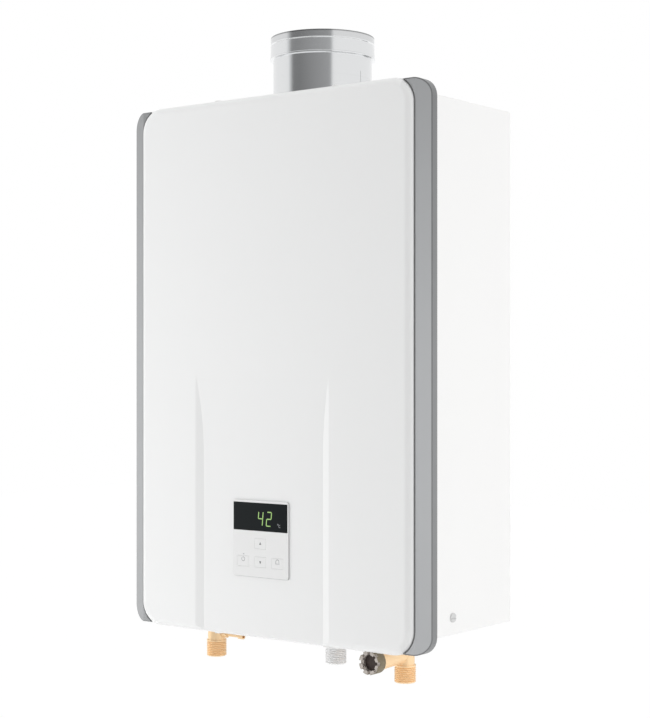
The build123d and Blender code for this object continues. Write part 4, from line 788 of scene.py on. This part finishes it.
@dataclass
class ControlPanel:
    """Display digits and printed marks on the control unit."""

    digit_height: float = 14.4 * MM
    digit_width: float = 6.5 * MM
    stroke: float = 0.95 * MM
    gap: float = 0.25 * MM
    slant: float = 0.09
    proud: float = 0.03 * MM
    digit_low: float = -154.9 * MM
    digit_lefts: dict[str, float] = field(default_factory=lambda: {"four": -12.3 * MM, "two": -1.8 * MM})
    unit_ring: Stroke = Stroke(0.55 * MM, 0.35 * MM)
    unit_ring_place: Place = (13.4 * MM, 0.0, -152.2 * MM)
    unit_hook: Stroke = Stroke(1.15 * MM, 0.42 * MM, start=50.0, sweep=260.0)
    unit_hook_place: Place = (15.4 * MM, 0.0, -153.9 * MM)
    mark_rise: float = 2.0 * MM
    arrow_radius: float = 1.55 * MM
    arrow_corners: int = 3
    arrow_stretch: float = 1.2
    power_ring: Stroke = Stroke(2.0 * MM, LINE, start=125.0, sweep=290.0)
    power_stroke: Span = (0.5 * MM, 2.7 * MM)
    tank_arch: Stroke = Stroke(1.9 * MM, LINE, sweep=180.0)
    tank_leg: float = 1.6 * MM
    tank_foot_drop: float = 2.2 * MM
    tank_foot_half: float = 2.6 * MM
    lamp_shift: float = 0.5 * MM
    lamp_rise: float = 1.2 * MM
    lamp_half_width: float = 0.9 * MM
    lamp_half_height: float = 0.3 * MM

    def depth(self, node: str) -> Span:
        """Front and rear of a print on a node's front face."""
        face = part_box(node)[0][1]
        return (face - self.proud, face + self.proud)

    def mark_centre(self, node: str) -> Vector:
        """The middle of a key's mark, on the plane of Y 0."""
        low, high = (Vector(corner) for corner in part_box(node))
        return Vector(((low.x + high.x) / 2, 0.0, (low.z + high.z) / 2 + self.mark_rise))

    def digit(self, name: str) -> bmesh.types.BMesh:
        """Builds the lit segments of one digit.

        Args:
            name: Which digit, a key of LIT_SEGMENTS.

        Returns:
            The digit's bmesh.
        """
        mesh = bmesh.new()
        depth = self.depth("display_window")
        left = self.digit_lefts[name]
        wide = self.digit_width - self.stroke
        high = self.digit_height - self.stroke
        half = self.stroke / 2
        for part in LIT_SEGMENTS[name]:
            x0, z0, x1, z1 = SEGMENTS[part]
            ends_x = (left + half + x0 * wide, left + half + x1 * wide)
            ends_z = (self.digit_low + half + z0 * high, self.digit_low + half + z1 * high)
            if x0 == x1:
                ends_x = (ends_x[0] - half, ends_x[1] + half)
                ends_z = (ends_z[0] + self.gap, ends_z[1] - self.gap)
            else:
                ends_x = (ends_x[0] + self.gap, ends_x[1] - self.gap)
                ends_z = (ends_z[0] - half, ends_z[1] + half)
            add_bar(mesh, ends_x, depth, ends_z)
        shear = Matrix.Identity(4)
        shear[0][2] = self.slant
        around = Matrix.Translation((0.0, 0.0, -self.digit_low))
        bmesh.ops.transform(mesh, matrix=around.inverted() @ shear @ around, verts=mesh.verts)
        return mesh

    def unit_mark(self) -> bmesh.types.BMesh:
        """Builds the small degree mark beside the digits."""
        mesh = bmesh.new()
        depth = self.depth("display_window")
        self.unit_ring.add(mesh, Vector(self.unit_ring_place), depth)
        self.unit_hook.add(mesh, Vector(self.unit_hook_place), depth)
        return mesh

    def arrow(self, node: str, up: bool) -> bmesh.types.BMesh:
        """Builds a printed arrow head on a key.

        Args:
            node: The key's node.
            up: True for the upper key.

        Returns:
            The arrow's bmesh.
        """
        low, high = (Vector(corner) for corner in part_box(node))
        centre = Vector(((low.x + high.x) / 2, low.y, (low.z + high.z) / 2))
        mesh = bmesh.new()
        turn = Matrix.Rotation(math.radians(90.0), 4, "X")
        flip = Matrix.Rotation(0.0 if up else math.pi, 4, "Y")
        size = Matrix.Diagonal((1.0, 1.0, self.arrow_stretch, 1.0))
        place = Matrix.Translation(centre) @ flip @ size @ turn
        bmesh.ops.create_circle(
            mesh, cap_ends=True, radius=self.arrow_radius, segments=self.arrow_corners, matrix=place
        )
        bmesh.ops.solidify(mesh, geom=mesh.faces[:], thickness=self.proud)
        shift = centre.y - self.proud - min(vert.co.y for vert in mesh.verts)
        bmesh.ops.translate(mesh, vec=(0.0, shift, 0.0), verts=mesh.verts)
        return mesh

    def power_mark(self, node: str) -> bmesh.types.BMesh:
        """Builds the printed power mark: an open ring and an upright stroke."""
        centre = self.mark_centre(node)
        depth = self.depth(node)
        mesh = bmesh.new()
        self.power_ring.add(mesh, centre, depth)
        low, high = self.power_stroke
        half = LINE / 2
        add_bar(mesh, (centre.x - half, centre.x + half), depth, (centre.z + low, centre.z + high))
        return mesh

    def tank_mark(self, node: str) -> bmesh.types.BMesh:
        """Builds the printed arch over a level line."""
        centre = self.mark_centre(node)
        depth = self.depth(node)
        mesh = bmesh.new()
        self.tank_arch.add(mesh, centre, depth)
        half = LINE / 2
        for side in (-self.tank_arch.radius, self.tank_arch.radius):
            middle = centre.x + side
            add_bar(mesh, (middle - half, middle + half), depth, (centre.z - self.tank_leg, centre.z))
        foot = centre.z - self.tank_foot_drop
        ends = (centre.x - self.tank_foot_half, centre.x + self.tank_foot_half)
        add_bar(mesh, ends, depth, (foot - half, foot + half))
        return mesh

    def lamp_mark(self) -> bmesh.types.BMesh:
        """Builds the small lamp mark above the left key."""
        low, high = (Vector(corner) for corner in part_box("key_left"))
        x = (low.x + high.x) / 2 + self.lamp_shift
        z = high.z + self.lamp_rise
        mesh = bmesh.new()
        ends_x = (x - self.lamp_half_width, x + self.lamp_half_width)
        ends_z = (z - self.lamp_half_height, z + self.lamp_half_height)
        add_bar(mesh, ends_x, self.depth("control_fascia"), ends_z)
        return mesh

    def build(self) -> None:
        """Makes and places every mark of the control unit."""
        for name in LIT_SEGMENTS:
            add_piece(f"display_digit_{name}", self.digit(name), DIGIT_GREEN, "cover")
        add_piece("display_unit_mark", self.unit_mark(), FAINT_GREY, "cover")
        add_piece("mark_up", self.arrow("key_up", True), PRINT_GREY, "up_key")
        add_piece("mark_down", self.arrow("key_down", False), PRINT_GREY, "down_key")
        add_piece("mark_power", self.power_mark("key_left"), FAINT_GREY, "left_key")
        add_piece("mark_tank", self.tank_mark("key_right"), FAINT_GREY, "right_key")
        add_piece("mark_lamp", self.lamp_mark(), FAINT_GREY, "cover")


@dataclass
class FlueDetails:
    """The folded seam on the outer flue tube."""

    width: float = 2.4 * MM
    height: float = 0.2 * MM
    radius: float = 49.8 * MM
    angle: float = 88.0
    ends: Span = (2.0 * MM, 46.0 * MM)
    bevel_share: float = 0.8
    bevel_segments: int = 3

    def seam(self) -> bmesh.types.BMesh:
        """Builds the upright lock seam with softened edges."""
        low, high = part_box("flue_outer_tube")
        axis = Vector(((low[0] + high[0]) / 2, (low[1] + high[1]) / 2, 0.0))
        mesh = bmesh.new()
        half = self.width / 2
        depth = (-self.radius - self.height, -self.radius + self.height)
        add_bar(mesh, (-half, half), depth, (low[2] + self.ends[0], low[2] + self.ends[1]))
        upright = [edge for edge in mesh.edges if abs(edge.verts[0].co.z - edge.verts[1].co.z) > self.width]
        bmesh.ops.bevel(
            mesh,
            geom=upright,
            offset=self.height * self.bevel_share,
            offset_type="OFFSET",
            segments=self.bevel_segments,
            profile=0.5,
            affect="EDGES",
            material=-1,
        )
        turn = Matrix.Translation(axis) @ Matrix.Rotation(math.radians(self.angle), 4, "Z")
        bmesh.ops.transform(mesh, matrix=turn, verts=mesh.verts)
        return mesh

    def build(self) -> None:
        """Makes the seam."""
        add_piece("flue_seam", self.seam(), FLUE_METAL, "case")


@dataclass(frozen=True)
class Lamp:
    """A square soft lamp, with its size in metres and its power in watts."""

    name: str
    place: Place
    aim: Place
    size: float
    power: float

    def build(self) -> None:
        """Adds the lamp to the scene."""
        data = bpy.data.lights.new(self.name, "AREA")
        data.shape = "SQUARE"
        data.size = self.size
        data.energy = self.power
        made = bpy.data.objects.new(self.name, data)
        made.location = self.place
        made.rotation_euler = (Vector(self.aim) - Vector(self.place)).to_track_quat("-Z", "Y").to_euler()
        made.visible_glossy = False
        bpy.context.scene.collection.objects.link(made)


LAMPS = (
    Lamp("key_lamp", (-1.15, -0.95, -0.2), (0.0, -0.15, -0.05), 1.4, 13.2),
    Lamp("side_lamp", (2.0, 0.0, -0.1), (0.18, -0.07, 0.0), 1.6, 18.5),
    Lamp("top_lamp", (0.3, -0.35, 2.2), (0.0, -0.1, 0.26), 1.6, 14.0),
    Lamp("low_lamp", (0.1, -0.5, -1.25), (0.1, -0.15, -0.25), 1.2, 2.0),
)
CARD_RAMP = Ramp(height, ((-1.3, grey(0.20)), (1.2, grey(0.21)), (1.75, grey(0.42)), (3.4, grey(0.58))))
CARD_PALE = grey(0.95)


@dataclass
class Studio:
    """Camera, lights, world and floor."""

    camera_place: Place = (0.98869, -1.35762, -0.00425)
    camera_yaw: float = 37.363
    focal_px: float = 1605.36
    image_height: float = 718.0
    horizon_px: float = 371.17
    sensor: float = 36.0
    view_depth: float = 100.0
    ambient: float = 0.54
    floor_level: float = -1.3
    floor_size: float = 12.0
    floor_tone: Colour = (0.9, 0.9, 0.9)
    floor_glow: float = 1.06
    floor_glow_share: float = 0.9
    card_radius: float = 4.5
    card_top: float = 3.4
    card_ends: Span = (-137.0, -30.4)
    card_steps: int = 24
    card_left_edge: Span = (-2.55, -3.29)
    card_right_edge: Span = (3.70, 3.88)
    card_lift: Span = (-1.2, 3.9)
    card_lift_share: float = 0.22

    def camera(self) -> None:
        """Places the camera as in the photograph."""
        data = bpy.data.cameras.new("camera")
        data.sensor_width = self.sensor
        data.sensor_fit = "AUTO"
        data.lens = self.sensor * self.focal_px / self.image_height
        data.shift_y = (self.horizon_px - self.image_height / 2) / self.image_height
        data.clip_end = self.view_depth
        made = bpy.data.objects.new("camera", data)
        made.location = self.camera_place
        made.rotation_euler = (math.radians(90.0), 0.0, math.radians(self.camera_yaw))
        bpy.context.scene.collection.objects.link(made)
        bpy.context.scene.camera = made

    def world(self) -> None:
        """Makes a soft studio surround that looks white."""
        made = bpy.data.worlds.new("studio")
        made.use_nodes = True
        bpy.context.scene.world = made
        graph = Graph(made.node_tree)
        seen = self.seen_directly(graph)
        levels = (self.ambient, 1.0)
        light, plain = (
            graph.node("ShaderNodeBackground", None, {"Color": rgba(WHITE), "Strength": level}).outputs[0]
            for level in levels
        )
        mixed = graph.node("ShaderNodeMixShader", None, {0: seen, 1: light, 2: plain})
        graph.finish(mixed, "ShaderNodeOutputWorld")

    @staticmethod
    def seen_directly(graph: Graph) -> Value:
        """One for camera, glossy and transmission rays, and zero for the rest."""
        path = graph.node("ShaderNodeLightPath")
        camera = graph.value(path, "Is Camera Ray")
        glossy = graph.value(path, "Is Glossy Ray")
        return camera.maximum(glossy).maximum(graph.value(path, "Is Transmission Ray"))

    def floor(self) -> None:
        """Lays a pale floor well below the heater, which hangs on a wall."""
        mesh = bmesh.new()
        level = Matrix.Translation((0.0, 0.0, self.floor_level))
        bmesh.ops.create_grid(mesh, x_segments=2, y_segments=2, size=self.floor_size, matrix=level)
        material, graph = node_material("floor_white")
        matt = graph.node("ShaderNodeBsdfDiffuse", None, {"Color": rgba(self.floor_tone)})
        glow = graph.node("ShaderNodeEmission", None, {"Color": rgba(WHITE), "Strength": self.floor_glow})
        share = self.seen_directly(graph) * self.floor_glow_share
        shaders = {0: share, 1: matt.outputs[0], 2: glow.outputs[0]}
        graph.finish(graph.node("ShaderNodeMixShader", None, shaders))
        mesh_object("floor", mesh, material)

    def card_mesh(self) -> bmesh.types.BMesh:
        """Builds the upright curved card."""
        mesh = bmesh.new()
        first, last = (math.radians(angle) for angle in self.card_ends)
        foot = Vector((math.cos(first), math.sin(first), 0.0)) * self.card_radius
        levels = (self.floor_level, self.card_top)
        ends = [mesh.verts.new(foot + Vector((0.0, 0.0, level))) for level in levels]
        edge = mesh.edges.new(ends)
        bmesh.ops.spin(
            mesh,
            geom=[edge, *ends],
            cent=(0.0, 0.0, 0.0),
            axis=(0.0, 0.0, 1.0),
            angle=last - first,
            steps=self.card_steps,
            use_merge=False,
        )
        return mesh

    def card_material(self) -> bpy.types.Material:
        """Builds the card's grey, which turns pale at its upright edges."""
        material, graph = node_material("card_grey")
        place = graph.node("ShaderNodeTexCoord").outputs["Object"]
        tone = CARD_RAMP.colour(graph, place)
        side = graph.value(graph.node("ShaderNodeSeparateXYZ", None, {0: place}), "X")
        lift = graph.map_range(side, self.card_lift, (0.0, self.card_lift_share))
        tone = graph.mix_colours(lift, tone, rgba(CARD_PALE))
        edges = (self.card_left_edge, self.card_right_edge)
        left, right = (graph.map_range(side, edge, (0.0, 1.0)) for edge in edges)
        tone = graph.mix_colours(left.maximum(right), tone, rgba(CARD_PALE))
        graph.finish(graph.node("ShaderNodeEmission", None, {"Color": tone, "Strength": 1.0}))
        return material

    def dark_card(self) -> None:
        """Stands a dark curved card far in front of the heater, which only mirror-like metal shows."""
        made = mesh_object("dark_card", self.card_mesh(), self.card_material())
        made.visible_camera = False
        made.visible_diffuse = False
        made.visible_transmission = False
        made.visible_shadow = False

    def build(self) -> None:
        """Sets up the whole studio."""
        bpy.context.scene.view_settings.view_transform = "Standard"
        self.camera()
        self.world()
        self.floor()
        self.dark_card()
        for lamp in LAMPS:
            lamp.build()


def main() -> None:
    """Builds and dresses the heater, then the studio."""
    logging.basicConfig(level=logging.INFO, format="%(name)s: %(message)s")
    steps: list[Callable[[], None]] = [dress_nodes, ControlPanel().build, FlueDetails().build, Studio().build]
    for step in steps:
        step()


if __name__ == "__main__":
    main()
